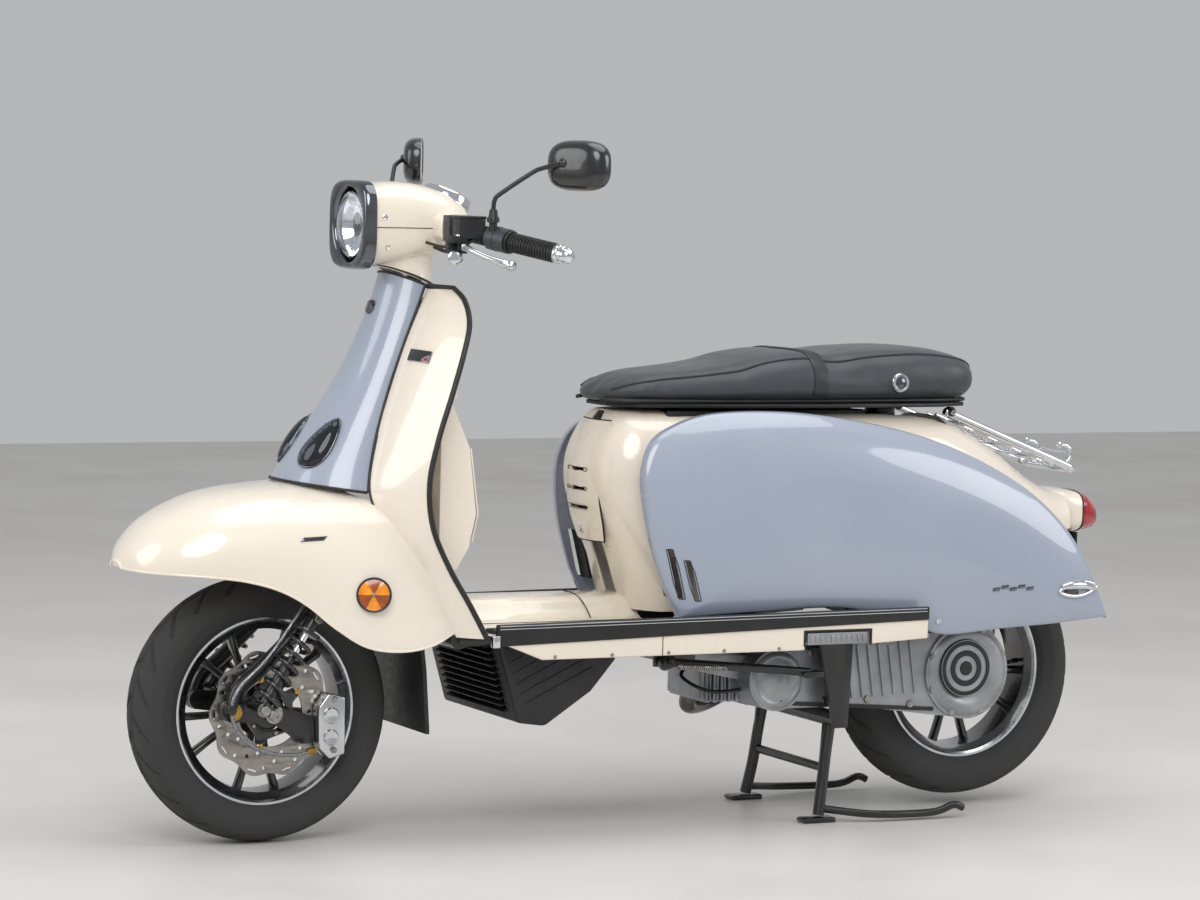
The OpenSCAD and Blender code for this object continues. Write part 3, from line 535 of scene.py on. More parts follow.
def layered(name, sockets, tint, polish, grain, stretch=(1, 1, 1), cells=False, weave=None):
    """A procedural finish: tint (hex, hex, mm), polish (low, high, mm), grain (mm, height in mm)."""
    made = bpy.data.materials.new(name)
    made.use_nodes = True
    tree = made.node_tree
    surface = tree.nodes["Principled BSDF"]
    for key, value in sockets.items():
        surface.inputs[key].default_value = value
    place = add(tree, "ShaderNodeTexCoord").outputs["Object"]
    place = add(tree, "ShaderNodeMapping", {"Scale": stretch}, {"Vector": place}).outputs[0]
    cloud = add(tree, "ShaderNodeTexNoise", {"Scale": 1000 / tint[2], "Detail": 5.0}, {"Vector": place})
    contrast = add(tree, "ShaderNodeMapRange", {"From Min": 0.32, "From Max": 0.68},
        {"Value": cloud.outputs[0]})
    colour = add(tree, "ShaderNodeMix", {6: linear(tint[0]), 7: linear(tint[1])}, {0: contrast.outputs[0]},
        data_type="RGBA")
    tree.links.new(colour.outputs[2], surface.inputs["Base Color"])
    smear = add(tree, "ShaderNodeTexNoise", {"Scale": 1000 / polish[2], "Detail": 3.0}, {"Vector": place})
    gloss = add(tree, "ShaderNodeMapRange", {"From Min": 0.3, "From Max": 0.7, "To Min": polish[0],
        "To Max": polish[1]},
                {"Value": smear.outputs[0]})
    tree.links.new(gloss.outputs[0], surface.inputs["Roughness"])
    if cells:
        relief = add(tree, "ShaderNodeTexVoronoi", {"Scale": 1000 / grain[0]}, {"Vector": place}).outputs[0]
    elif weave:
        relief = add(tree, "ShaderNodeTexWave", {"Scale": 1000 / grain[0] / 6.28, "Distortion": weave[1]},
            {"Vector": place},
                     bands_direction=weave[0]).outputs[1]
    else:
        relief = add(tree, "ShaderNodeTexNoise", {"Scale": 1000 / grain[0], "Detail": 4.0},
            {"Vector": place}).outputs[0]
    bump = add(tree, "ShaderNodeBump", {"Strength": 1.0, "Distance": grain[1] * MM}, {"Height": relief})
    tree.links.new(bump.outputs[0], surface.inputs["Normal"])
    return made


PAINT = {"Coat Weight": 1.0, "Coat Roughness": 0.03, "IOR": 1.5}
METAL = {"Metallic": 1.0}
FINISHES = {
    # Two-coat lacquer on moulded ABS: an even colour under a wet, glassy coat with the faintest orange peel.
    "cream_lacquer": lambda n: layered(n, PAINT, (colours().cream, "#E6DCCB", 420), (0.24, 0.34, 90),
    (6, 0.012)),
    "blue_lacquer": lambda n: layered(n, PAINT, (colours().blue, "#949CAD", 420), (0.22, 0.32, 90),
    (6, 0.012)),
    # Powder-coated steel tube: deep black, half gloss, fine pebbling.
    "black_powder_coat": lambda n: layered(n, {"IOR": 1.5, "Coat Weight": 0.4, "Coat Roughness": 0.15},
    ("#101011", "#191A1C", 60), (0.26, 0.42, 14), (1.6, 0.05)),
    # Moulded black ABS and polypropylene: matt with a spark-eroded grain, greyer where handled.
    "grained_black_abs": lambda n: layered(n, {"IOR": 1.5}, ("#17181A", "#222326", 45), (0.42, 0.58, 10),
    (0.9, 0.06)),
    # Grey-black glass-filled nylon of the switch housings.
    "nylon_housing": lambda n: layered(n, {"IOR": 1.53}, ("#303338", "#3C3F45", 30), (0.36, 0.5, 8),
    (0.8, 0.05)),
    # Extruded EPDM rubber of the edge trims: soft, dull, slightly chalky.
    "trim_rubber": lambda n: layered(n, {"IOR": 1.52}, ("#0F0F10", "#1B1B1C", 25), (0.38, 0.55, 12),
    (1.2, 0.05)),
    # Grip rubber: harder black with a faint bloom.
    "grip_rubber": lambda n: layered(n, {"IOR": 1.52}, ("#131314", "#1E1E20", 18), (0.42, 0.6, 8),
    (0.8, 0.06)),
    # Tyre rubber: carbon black with dusty brown-grey bloom and a fine mould texture.
    "tyre_rubber": lambda n: layered(n, {"IOR": 1.52}, ("#131314", "#242323", 35), (0.5, 0.72, 16),
    (1.4, 0.12)),
    # Chrome plate over polished brass: mirror bright, the least smear.
    "chrome_plate": lambda n: layered(n, METAL, ("#E2E4E8", "#D2D5DA", 50), (0.05, 0.1, 60), (40, 0.0004)),
    # Smoked chrome of the headlamp ring: dark mirror.
    "smoked_chrome": lambda n: layered(n, METAL, ("#75787E", "#63666C", 40), (0.06, 0.12, 60), (40, 0.0004)),
    # Polished forged aluminium of the levers: bright and a touch soft.
    "polished_aluminium": lambda n: layered(n, METAL, ("#D8D9DB", "#C9CBCF", 30), (0.16, 0.24, 30),
    (6, 0.002)),
    # Machined rim lip: fine lathe lines round the wheel, seen as a soft ring of light.
    "turned_aluminium": lambda n: layered(n, METAL, ("#DCDDE0", "#B9BCC1", 40), (0.16, 0.28, 8),
    (0.9, 0.015)),
    # Gloss black enamel of the rim and spokes.
    "rim_enamel": lambda n: layered(n, {"IOR": 1.5, "Coat Weight": 0.8, "Coat Roughness": 0.06},
    ("#0D0D0F", "#17181B", 70), (0.2, 0.32, 20), (2.2, 0.02)),
    # Die-cast aluminium under silver engine paint: sandy grain and cloudy greys.
    "cast_aluminium": lambda n: layered(n, {"Metallic": 0.75, "IOR": 1.5}, ("#A7A9AD", "#8C8E92", 55),
    (0.34, 0.5, 12), (1.3, 0.14)),
    # Ground stainless disc: fine scratches and a straw tint from heat.
    "ground_steel": lambda n: layered(n, METAL, ("#A9A49C", "#8E8A86", 24), (0.22, 0.38, 5), (0.5, 0.02)),
    # Stainless silencer: browned and slightly rough.
    "browned_stainless": lambda n: layered(n, METAL, ("#8E8A87", "#5F574F", 60), (0.22, 0.4, 14),
    (2.5, 0.05)),
    # Yellow zinc passivate on fork bolts.
    "zinc_gold": lambda n: layered(n, METAL, ("#C7A35A", "#A8843E", 12), (0.22, 0.34, 5), (0.9, 0.02)),
    # Seat vinyl: charcoal, with a pebbled leather grain 1.6 mm across and a low sheen.
    "seat_vinyl": lambda n: layered(n, {"IOR": 1.5, "Sheen Weight": 0.12, "Sheen Roughness": 0.4},
    ("#33353A", "#3E4147", 70), (0.38, 0.5, 30), (1.7, 0.09), cells=True),
    # Polyester thread and welt cord.
    "welt_vinyl": lambda n: layered(n, {"IOR": 1.5}, ("#25272B", "#2F3136", 20), (0.4, 0.52, 10),
    (1.0, 0.05)),
    "seat_thread": lambda n: layered(n, {"IOR": 1.5}, ("#4A4C50", "#55575C", 6), (0.6, 0.75, 4), (0.5, 0.05)),
    # Clear polycarbonate lens, almost invisible but for its glints.
    "clear_lens": lambda n: layered(n, {"Transmission Weight": 1.0, "IOR": 1.58},
    ("#FFFFFF", "#F6FAFF", 50), (0.01, 0.03, 30), (12, 0.004)),
    # Smoked acrylic over the horncast lamps.
    "smoked_lens": lambda n: layered(n, {"Transmission Weight": 0.85, "IOR": 1.49},
    ("#4B5460", "#3A424D", 40), (0.03, 0.06, 20), (12, 0.004)),
    # Vacuum-metallised reflector bowl.
    "metallised_bowl": lambda n: layered(n, METAL, ("#E9ECF2", "#D5DAE4", 30), (0.05, 0.12, 14), (6, 0.01)),
    # Milky light guide, lit from behind.
    "light_guide": lambda n: layered(n, {"IOR": 1.49, "Emission Color": (0.9, 0.95, 1, 1),
    "Emission Strength": 2.2}, ("#FFFFFF", "#F2F6FF", 20), (0.2, 0.3, 8), (4, 0.01)),
    # Amber prismatic acrylic; its faint glow is painted light, since a reflector gives none.
    "amber_acrylic": lambda n: layered(n, {"IOR": 1.49, "Coat Weight": 1.0, "Coat Roughness": 0.04,
    "Emission Color": (0.9, 0.3, 0.01, 1), "Emission Strength": 0.12}, ("#F59A12", "#C96F08", 14), (0.1,
    0.2, 6), (3, 0.03)),
    # The darker facets are a painted-shade copy of the same amber acrylic.
    "amber_dark_facet": lambda n: layered(n, {"IOR": 1.49, "Coat Weight": 1.0, "Coat Roughness": 0.04},
    ("#A85008", "#8A3E05", 10), (0.1, 0.2, 6), (3, 0.03)),
    # Ruby acrylic of the tail lamp.
    "red_acrylic": lambda n: layered(n, {"IOR": 1.49, "Coat Weight": 1.0, "Coat Roughness": 0.03,
    "Emission Color": (0.5, 0.005, 0.01, 1), "Emission Strength": 0.05}, ("#A80F1C", "#7A0912", 30), (0.1,
    0.18, 12), (5, 0.02)),
    "red_moulding": lambda n: layered(n, {"IOR": 1.5}, ("#B3191D", "#9A1418", 8), (0.3, 0.4, 5), (0.8, 0.03)),
    # Silvered mirror glass.
    "silvered_glass": lambda n: layered(n, METAL, ("#C9D2DC", "#BFC9D4", 60), (0.01, 0.03, 30), (20, 0.001)),
    # Stainless braid under a clear sleeve: crossed wires a millimetre apart.
    "braided_hose": lambda n: layered(n, {"Metallic": 0.8, "Coat Weight": 0.6, "Coat Roughness": 0.1},
    ("#9C9EA3", "#5E6066", 2), (0.25, 0.4, 3), (1.4, 0.25), weave=("DIAGONAL", 2.0)),
    # Bronze-tinted crankcase bolts and brackets.
    "zinc_steel": lambda n: layered(n, METAL, ("#B8B6B2", "#8F8C87", 10), (0.2, 0.36, 5), (0.8, 0.03)),
    # Black glass over the instrument.
    "instrument_glass": lambda n: layered(n, {"IOR": 1.5, "Coat Weight": 1.0, "Coat Roughness": 0.02},
    ("#0B0C0E", "#101216", 60), (0.05, 0.1, 20), (10, 0.002)),
    # Radiator core: dull black fins.
    "radiator_core": lambda n: layered(n, {"Metallic": 0.6}, ("#2B2C2F", "#1D1E20", 12), (0.5, 0.65, 6),
    (2.4, 0.8), weave=("Z", 0.0)),
    # Pale polished floor with broad cloudy patches.
    "pale_floor": lambda n: layered(n, {"IOR": 1.45}, ("#D9D7D4", "#CFCCC8", 900), (0.32, 0.5, 300),
    (30, 0.05)),
}


def material(name):
    """The finish of that name, made on first use."""
    return bpy.data.materials.get(name) or FINISHES[name](name)


# ---- rules that repeat a shape ----


def tree_of(name, inputs):
    """A geometry tree with its named inputs and a Geometry in and out."""
    tree = bpy.data.node_groups.new(name, "GeometryNodeTree")
    tree.interface.new_socket("Geometry", in_out="INPUT", socket_type="NodeSocketGeometry")
    tree.interface.new_socket("Geometry", in_out="OUTPUT", socket_type="NodeSocketGeometry")
    for label, kind, value in inputs:
        socket = tree.interface.new_socket(label, in_out="INPUT", socket_type=kind)
        if value is not None:
            socket.default_value = value
    return tree


def round_tree():
    """Copies of a shape turned about the Y axis through a centre."""
    tree = bpy.data.node_groups.get("Round the axle")
    if tree:
        return tree
    tree = tree_of("Round the axle", [
        ("Copies", "NodeSocketInt", 5), ("Centre", "NodeSocketVector", (0, 0, 0)),
        ("Start", "NodeSocketFloat", 0.0),
        ("Finish", "NodeSocketMaterial", None),
    ])
    given = add(tree, "NodeGroupInput").outputs
    to_centre = add(tree, "ShaderNodeVectorMath", {1: (-1, -1, -1)}, {0: given["Centre"]},
        operation="MULTIPLY")
    local = add(tree, "GeometryNodeTransform", None, {"Geometry": given["Geometry"],
        "Translation": to_centre.outputs[0]})
    points = add(tree, "GeometryNodePoints", None, {"Count": given["Copies"], "Position": given["Centre"]})
    step = add(tree, "ShaderNodeMath", {0: math.tau}, {1: given["Copies"]}, operation="DIVIDE")
    turn = add(tree, "ShaderNodeMath", None, {0: add(tree, "GeometryNodeInputIndex").outputs[0],
        1: step.outputs[0],
                                              2: given["Start"]}, operation="MULTIPLY_ADD")
    angle = add(tree, "ShaderNodeCombineXYZ", None, {"Y": turn.outputs[0]})
    copies = add(tree, "GeometryNodeInstanceOnPoints", None,
        {"Points": points.outputs[0], "Instance": local.outputs[0],
                                                              "Rotation": angle.outputs[0]})
    real = add(tree, "GeometryNodeRealizeInstances", None, {"Geometry": copies.outputs[0]})
    painted = add(tree, "GeometryNodeSetMaterial", None,
        {"Geometry": real.outputs[0], "Material": given["Finish"]})
    add(tree, "NodeGroupOutput", None, {"Geometry": painted.outputs[0]})
    return tree


def row_tree():
    """Copies of a shape set out in a straight row, each a step from the last."""
    tree = bpy.data.node_groups.get("In a row")
    if tree:
        return tree
    tree = tree_of("In a row", [
        ("Copies", "NodeSocketInt", 5), ("Step", "NodeSocketVector", (0, 0, 0.01)),
        ("Finish", "NodeSocketMaterial", None),
    ])
    given = add(tree, "NodeGroupInput").outputs
    shift = add(tree, "ShaderNodeVectorMath", None, {0: given["Step"],
        "Scale": add(tree, "GeometryNodeInputIndex").outputs[0]},
                operation="SCALE")
    points = add(tree, "GeometryNodePoints", None, {"Count": given["Copies"], "Position": shift.outputs[0]})
    copies = add(tree, "GeometryNodeInstanceOnPoints", None,
        {"Points": points.outputs[0], "Instance": given["Geometry"]})
    real = add(tree, "GeometryNodeRealizeInstances", None, {"Geometry": copies.outputs[0]})
    painted = add(tree, "GeometryNodeSetMaterial", None,
        {"Geometry": real.outputs[0], "Material": given["Finish"]})
    add(tree, "NodeGroupOutput", None, {"Geometry": painted.outputs[0]})
    return tree


def path_tree():
    """Short stitches laid along a run of points."""
    tree = bpy.data.node_groups.get("Stitches along a seam")
    if tree:
        return tree
    tree = tree_of("Stitches along a seam", [
        ("Pitch", "NodeSocketFloat", 0.004), ("Length", "NodeSocketFloat", 0.0028),
        ("Thickness", "NodeSocketFloat", 0.0004),
        ("Finish", "NodeSocketMaterial", None),
    ])
    given = add(tree, "NodeGroupInput").outputs
    line = add(tree, "GeometryNodeMeshToCurve", None, {"Mesh": given["Geometry"]})
    even = add(tree, "GeometryNodeResampleCurve", None,
        {"Curve": line.outputs[0], "Length": given["Pitch"]}, mode="LENGTH")
    tangent = add(tree, "GeometryNodeInputTangent")
    turned = add(tree, "FunctionNodeAlignRotationToVector", None, {"Vector": tangent.outputs[0]}, axis="Z")
    stitch = add(tree, "GeometryNodeMeshCylinder", {"Vertices": 6},
        {"Radius": given["Thickness"], "Depth": given["Length"]})
    copies = add(tree, "GeometryNodeInstanceOnPoints", None,
        {"Points": even.outputs[0], "Instance": stitch.outputs[0],
                                                              "Rotation": turned.outputs[0]})
    real = add(tree, "GeometryNodeRealizeInstances", None, {"Geometry": copies.outputs[0]})
    painted = add(tree, "GeometryNodeSetMaterial", None,
        {"Geometry": real.outputs[0], "Material": given["Finish"]})
    add(tree, "NodeGroupOutput", None, {"Geometry": painted.outputs[0]})
    return tree


def ruled(obj, tree, finish, **inputs):
    """Runs a piece through a rule and keeps the plain mesh."""
    rule = obj.modifiers.new("rule", "NODES")
    rule.node_group = tree
    names = {item.name: item.identifier for item in tree.interface.items_tree if item.in_out == "INPUT"}
    for key, value in inputs.items():
        rule[names[key]] = value
    rule[names["Finish"]] = material(finish)
    return settle(obj)


def round_axle(obj, copies, centre, finish, start=0.0):
    return ruled(obj, round_tree(), finish, Copies=copies, Centre=tuple(Vector(centre) * MM),
        Start=math.radians(start))


def in_row(obj, copies, step, finish):
    return ruled(obj, row_tree(), finish, Copies=copies, Step=tuple(Vector(step) * MM))


def stitched(name, path, finish="seat_thread"):
    """A line of stitches along a path in millimetres."""
    mesh = bpy.data.meshes.new(name)
    mesh.from_pydata([tuple(Vector(p) * MM) for p in path], [(i, i + 1) for i in range(len(path) - 1)], [])
    obj = bpy.data.objects.new(name, mesh)
    bpy.context.scene.collection.objects.link(obj)
    return ruled(obj, path_tree(), finish)


# ---- what a user may change ----


def paint_box(label, text, colour):
    return bpy.props.StringProperty(name=label, description=text, default=colour)


class ScooterColours(bpy.types.PropertyGroup):
    """Colours of the scooter, as sRGB hex."""

    cream: paint_box("Cream", "Colour of the mudguard, legshields, floor and body", "#EBE1D2")
    blue: paint_box("Blue", "Colour of the horncast and the side panels", "#9CA4B4")


class ScooterSizes(bpy.types.PropertyGroup):
    """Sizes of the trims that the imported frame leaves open."""

    panel_wall: bpy.props.FloatProperty(name="Panel wall", description="Thickness of the painted panels",
        default=0.003,
                                        min=0.002, max=0.004, subtype="DISTANCE", unit="LENGTH")
    edge_trim: bpy.props.FloatProperty(name="Edge trim",
        description="Half width of the rubber round the legshields",
                                       default=0.0048, min=0.003, max=0.006, subtype="DISTANCE",
                                       unit="LENGTH")
    welt: bpy.props.FloatProperty(name="Welt", description="Radius of the seat's piping", default=0.0023,
        min=0.0015,
                                  max=0.004, subtype="DISTANCE", unit="LENGTH")
    groove: bpy.props.FloatProperty(name="Tread groove", description="Depth of the tyre grooves",
        default=0.0042,
                                    min=0.002, max=0.006, subtype="DISTANCE", unit="LENGTH")


def colours():
    return bpy.context.scene.scooter_colours


def sizes():
    return bpy.context.scene.scooter_sizes

# ---- painted panels ----


def bead(name, path, radius, finish, sides=10, closed=False):
    return tube(name, path, radius, finish, sides, True, closed)


class SCOOTER_OT_mudguard(bpy.types.Operator):
    """The front mudguard with its rolled edge and its two slot trims"""

    bl_idname = "scooter.mudguard"
    bl_label = "Front mudguard"

    def execute(self, context):
        grid = hoops(MUDGUARD, 8, 96, 3)
        tip = [(p[0] - 1.5, p[1] * 0.96, 481.5 + 0.1 * (p[2] - 481)) for p in grid[0]]
        wall = sizes().panel_wall / MM
        guard = panel("mudguard", [tip] + grid, wall, (760, 0, 300), "cream_lacquer")
        left = [row[0] for row in reversed(grid)]
        nose = grid[0][1:-1:8]
        lip = [(x, y - 1.2 * math.copysign(min(1, abs(y) / 20), y), z + 0.6) for x, y,
            z in left + nose + [row[-1] for row in grid]]
        roll = bead("mudguard_lip", lip, 2.4, "cream_lacquer", 12)
        slots = []
        for side in (1, -1):
            place, out = touch(guard, (683, side * 300, 538), (0, -side, 0))
            right = Vector((side, 0.16, 0.06)) if side > 0 else Vector((side, 0.16, -0.06))
            right = (right - right.dot(out) * out).normalized()
            up = out.cross(right)
            stand = basis(place + 0.6 * out, right, up)
            frame_line = [(-24, -3.6), (17, -3.6), (24, 3.6), (-17, 3.6)]
            slots.append(plate("slot", [frame_line], 3.2, stand, "smoked_chrome", 0.9))
            stand = basis(place + 2.0 * out, right, up)
            slots.append(plate("slot", [[(x * 0.78, y * 0.5) for x, y in frame_line]], 1.4, stand,
                "grained_black_abs", 0.3))
        carried(joined("mudguard_skin", [guard, roll]), "chassis", "cream_paint", "front_fender")
        carried(joined("mudguard_slots", slots), "chassis", "chrome")
        outline = [(452, 190), (460, 300), (478, 440), (512, 560), (508, 566), (470, 445), (452, 300),
            (444, 190)]
        guard = slab("splash_skin", smooth_ring(outline[:4], 1) + outline[4:], -128, 128,
            "grained_black_abs", edge=2)
        carried(guard, "chassis", "black_plastic", "splash_guard")
        return {"FINISHED"}


class SCOOTER_OT_horncast(bpy.types.Operator):
    """The blue horncast, its rubber gasket, smoked lamps and round badge"""

    bl_idname = "scooter.horncast"
    bl_label = "Horncast"

    def execute(self, context):
        grid = bows(HORNCAST, 12, 72)
        cast = panel("horncast_skin", grid, sizes().panel_wall / MM, (470, 0, 780), "blue_lacquer")
        foot = [(x + 0.8, y, z + 0.2) for x, y, z in grid[0]]
        left = [(x - 0.6, y + 1.0, z) for x, y, z in (row[0] for row in grid)]
        right = [(x, -y, z) for x, y, z in left]
        gasket = joined("horncast_gasket", [
            bead("gasket", foot, 2.6, "trim_rubber"), bead("gasket", left, 2.2, "trim_rubber"),
            bead("gasket", right, 2.2, "trim_rubber"),
            bead("gasket", grid[-1], 2.2, "trim_rubber"),
        ])
        # A teardrop lamp set in each flank: ring, bowl, slats and smoked glass.
        lamp = []
        place, out = touch(cast, (760, 190, 706), (641 - 760, 70 - 190, -12))
        up = Vector((-0.56, 0.10, 0.82))
        up = (up - up.dot(out) * out).normalized()
        right_way = up.cross(out)
        drop = [
            (27 * math.sin(a) * (1 - 0.34 * math.cos(a)),
            50 * math.cos(a)) for a in [math.tau * k / 64 for k in range(64)]
        ]

        def at(x, y, h):
            return place + x * right_way + y * up + (h - 0.0052 * x * x - 0.0006 * y * y) * out

        levels = [(1.0, -6), (1.0, 2.0), (0.93, 6.0), (0.8, 9.4), (0.6, 12.0), (0.36, 13.6), (0.12, 14.2)]
        lamp.append(skin("lamp_glass", [[at(x * s, y * s, h) for x, y in drop] for s, h in levels],
            "smoked_lens", (False, True)))
        lamp[-1] = panel_wall(lamp[-1], 1.6)
        ring = [at(x * 1.03, y * 1.02, 2.2) for x, y in drop]
        lamp.append(bead("lamp_ring", ring, 2.3, "smoked_chrome", 12, True))
        bowl = [(0.96, 1.5), (0.84, -3), (0.6, -7), (0.3, -9)]
        lamp.append(skin("lamp_bowl", [[at(x * s, y * s, h) for x, y in drop] for s, h in bowl],
            "metallised_bowl", (False, True)))
        slat = []
        for k in range(7):
            y = -34 + 11 * k
            half = 22 * math.sqrt(max(0.05, 1 - (y / 50) ** 2)) * (1 + 0.3 * y / 50)
            a, b = at(-half, y, 3.5), at(half, y, 3.5)
            slat.append(slat_bar("lamp_slat", a, b, out, 4.2, 1.5))
        lamp += slat
        lamp.append(bead("lamp_guide", [at(0.86 * x, 0.86 * y, 3) for x, y in drop[40:60]], 1.6,
            "light_guide", 8))
        lamps = both(joined("horncast_lamp_glass", lamp))
        badge_at, badge_out = touch(cast, (700, 0, 924), (-1, 0, 0))
        badge_out = (badge_out + Vector((0.2, 0, 0))).normalized()
        badge = joined("horncast_badge", [
            lathe("badge", [(0, 6), (9, 6), (10.4, 5.2), (11.4, 5.8), (12.6, 4.6), (13, 1), (13, -4),
            (0, -4)], badge_at, badge_out, "smoked_chrome", 48),
            lathe("badge", [(0, 6.8), (4.5, 6.6), (8.6, 6.1), (8.9, 5), (0, 5)], badge_at, badge_out,
            "instrument_glass", 48),
        ])
        carried(cast, "chassis", "blue_paint", "horncast")
        carried(gasket, "chassis", "rubber")
        carried(lamps, "chassis", "dark_lens", "horncast_lamps")
        carried(badge, "chassis", "chrome")
        return {"FINISHED"}


def panel_wall(obj, thickness):
    """Gives an open form a wall on its inner side."""
    wall = obj.modifiers.new("wall", "SOLIDIFY")
    wall.thickness, wall.offset = thickness * MM, -1
    return settle(obj)


def slat_bar(name, a, b, out, depth, height):
    """A thin bar from a to b standing out from a surface."""
    a, b, out = Vector(a), Vector(b), Vector(out)
    up = out.cross(b - a).normalized()
    corners = [(-0.5, -0.5), (0.5, -0.5), (0.5, 0.5), (-0.5, 0.5)]
    rings = [[p + u * depth * out + v * height * up for u, v in corners] for p in (a, b)]
    return rounded(skin(name, rings, "grained_black_abs"), 0.4, 1)


class SCOOTER_OT_legshields(bpy.types.Operator):
    """Both legshields with the rubber round their edges and the blank plaque"""

    bl_idname = "scooter.legshields"
    bl_label = "Legshields"

    def execute(self, context):
        inner = smooth([row[0] for row in LEGSHIELD], 8)
        outer = smooth([row[1] for row in LEGSHIELD], 8)
        grid = []
        for a, b in zip(inner, outer):
            a, b = Vector(a), Vector(b)
            bow = 0.07 * (b - a).length
            grid.append([a + (b - a) * t + Vector((bow * math.sin(math.pi * t), 0, 0)) for t in [j / 28
                for j in range(29)]])
        shield = panel("legshield_skin", grid, sizes().panel_wall / MM, (300, 100, 700), "cream_lacquer")
        half = sizes().edge_trim / MM
        edge = [Vector(p) for p in outer]
        top = [Vector(p) for p in reversed(grid[0])]
        run = top[:-1] + edge if (top[-1] - edge[0]).length < 1 else list(reversed(top)) + edge[1:]
        trim = bead("trim", run, half, "trim_rubber", 12)
        seam = bead("trim", [Vector(p) + Vector((0.5, 0.6, 0)) for p in inner[40:]], 1.9, "trim_rubber")
        rubber = both(joined("legshield_trim", [trim, seam]))
        place, out = touch(shield, (640, 133, 846), (-1, 0.0, 0))
        right = Vector((-0.28, 1, 0.0))
        right = (right - right.dot(out) * out).normalized()
        up = out.cross(right)
        outline = [(-28, -9.5), (28, -11.5), (28, 9.5), (-28, 11.5)]
        plaque = joined("legshield_plaque", [
            plate("plaque", [outline], 3.4, basis(place + 1.0 * out, right, up), "smoked_chrome", 0.8),
            plate("plaque", [[(x * 0.92, y * 0.8) for x, y in outline]], 1.4,
            basis(place + 2.6 * out, right, up), "instrument_glass", 0.3),
            plate("plaque", [[(17, -8.4), (25, -8.8), (25, -4.4), (17, -4.0)]], 1.0,
            basis(place + 3.6 * out, right, up), "red_moulding", 0.2),
        ])
        carried(both(shield), "chassis", "cream_paint", "legshield")
        carried(rubber, "chassis", "rubber")
        carried(plaque, "chassis", "chrome")
        return {"FINISHED"}


class SCOOTER_OT_reflectors(bpy.types.Operator):
    """Round amber reflectors with facets like an orange's segments, in black rings"""

    bl_idname = "scooter.reflectors"
    bl_label = "Side reflectors"

    def execute(self, context):
        guard = bpy.data.objects["mudguard_skin"]
        place, out = touch(guard, (585, 320, 444), (0, -1, 0))
        axis = Vector((0.40, 0.91, 0.10)).normalized()
        base = place + 1.0 * axis
        up = (UP - UP.dot(axis) * axis).normalized()
        right = up.cross(axis)
        points, faces = [base + 12.5 * axis], []
        rim, count = 27.0, 48
        for k in range(count):
            a = math.tau * k / count
            points.append(base + rim * (math.cos(a) * right + math.sin(a) * up) + (8.0
                if (k // 8) % 2 else 8.8) * axis)
        for k in range(count):
            faces.append((0, 1 + k, 1 + (k + 1) % count))
        lens = mesh_piece("reflector", points, faces, "amber_acrylic", 10)
        # Every other group of eight facets takes the painted-shade copy of the amber.
        lens.data.materials.append(material("amber_dark_facet"))
        for k, face in enumerate(lens.data.polygons):
            face.material_index = (k // 8) % 2
        outward(lens, inside=base - 40 * axis)
        hub = lathe("reflector", [(0, 14), (3.4, 13.6), (4, 12), (0, 12)], base, axis, "zinc_steel", 24)
        ring = lathe("reflector", [(26, 6), (26.6, 9.4), (28.6, 10.2), (30, 8.6), (30.2, -10), (0, -10),
            (0, 6)], base, axis, "grained_black_abs", 64)
        carried(both(joined("side_reflector_lenses", [lens, hub, ring])), "chassis", "amber_lens",
            "side_reflectors")
        return {"FINISHED"}


class SCOOTER_OT_glovebox(bpy.types.Operator):
    """The glovebox behind the legshield, its lid and the ignition lock"""

    bl_idname = "scooter.glovebox"
    bl_label = "Glovebox"

    def execute(self, context):
        box = refined("glovebox", "cream_lacquer", 5, "glovebox_skin", segments=4)
        lid = refined("glovebox_lid", "cream_lacquer", 1.8, "glovebox_lid_skin", segments=3)
        latch = joined("glovebox_latch", [
            lathe("latch", [(0, 9), (7, 9), (9, 7), (9.4, 0), (9.4, -3), (0, -3)], (381, 0, 660),
            (-1, 0, 0.16), "chrome_plate", 40),
            slat_bar("latch", (371.5, -5, 661.5), (371.5, 5, 661.5), (-1, 0, 0), 2.4, 1.6),
        ])
        lock = refined("ignition_lock", "polished_aluminium", 0.8, "ignition_barrel_face")
        collar = lathe("ignition_collar", [(15.3, 0), (19, 0), (20.5, -1.5), (20.5, -5), (15.3, -5)],
            (399, -20, 828), (1, 0, 0), "grained_black_abs", 48, True)
        hook = tube("bag_hook", smooth([(396, 26, 800), (378, 26, 796), (368, 26, 784), (372, 26, 770),
            (382, 26, 768)], 6), 3.2, "chrome_plate")
        carried(box, "chassis", "cream_paint", "glovebox")
        carried(lid, "glovebox_door", "cream_paint", "glovebox_lid")
        carried(latch, "glovebox_door", "chrome")
        carried(lock, "ignition_barrel", "chrome", "ignition_lock")
        carried(collar, "chassis", "black_plastic")
        carried(hook, "chassis", "chrome")
        return {"FINISHED"}


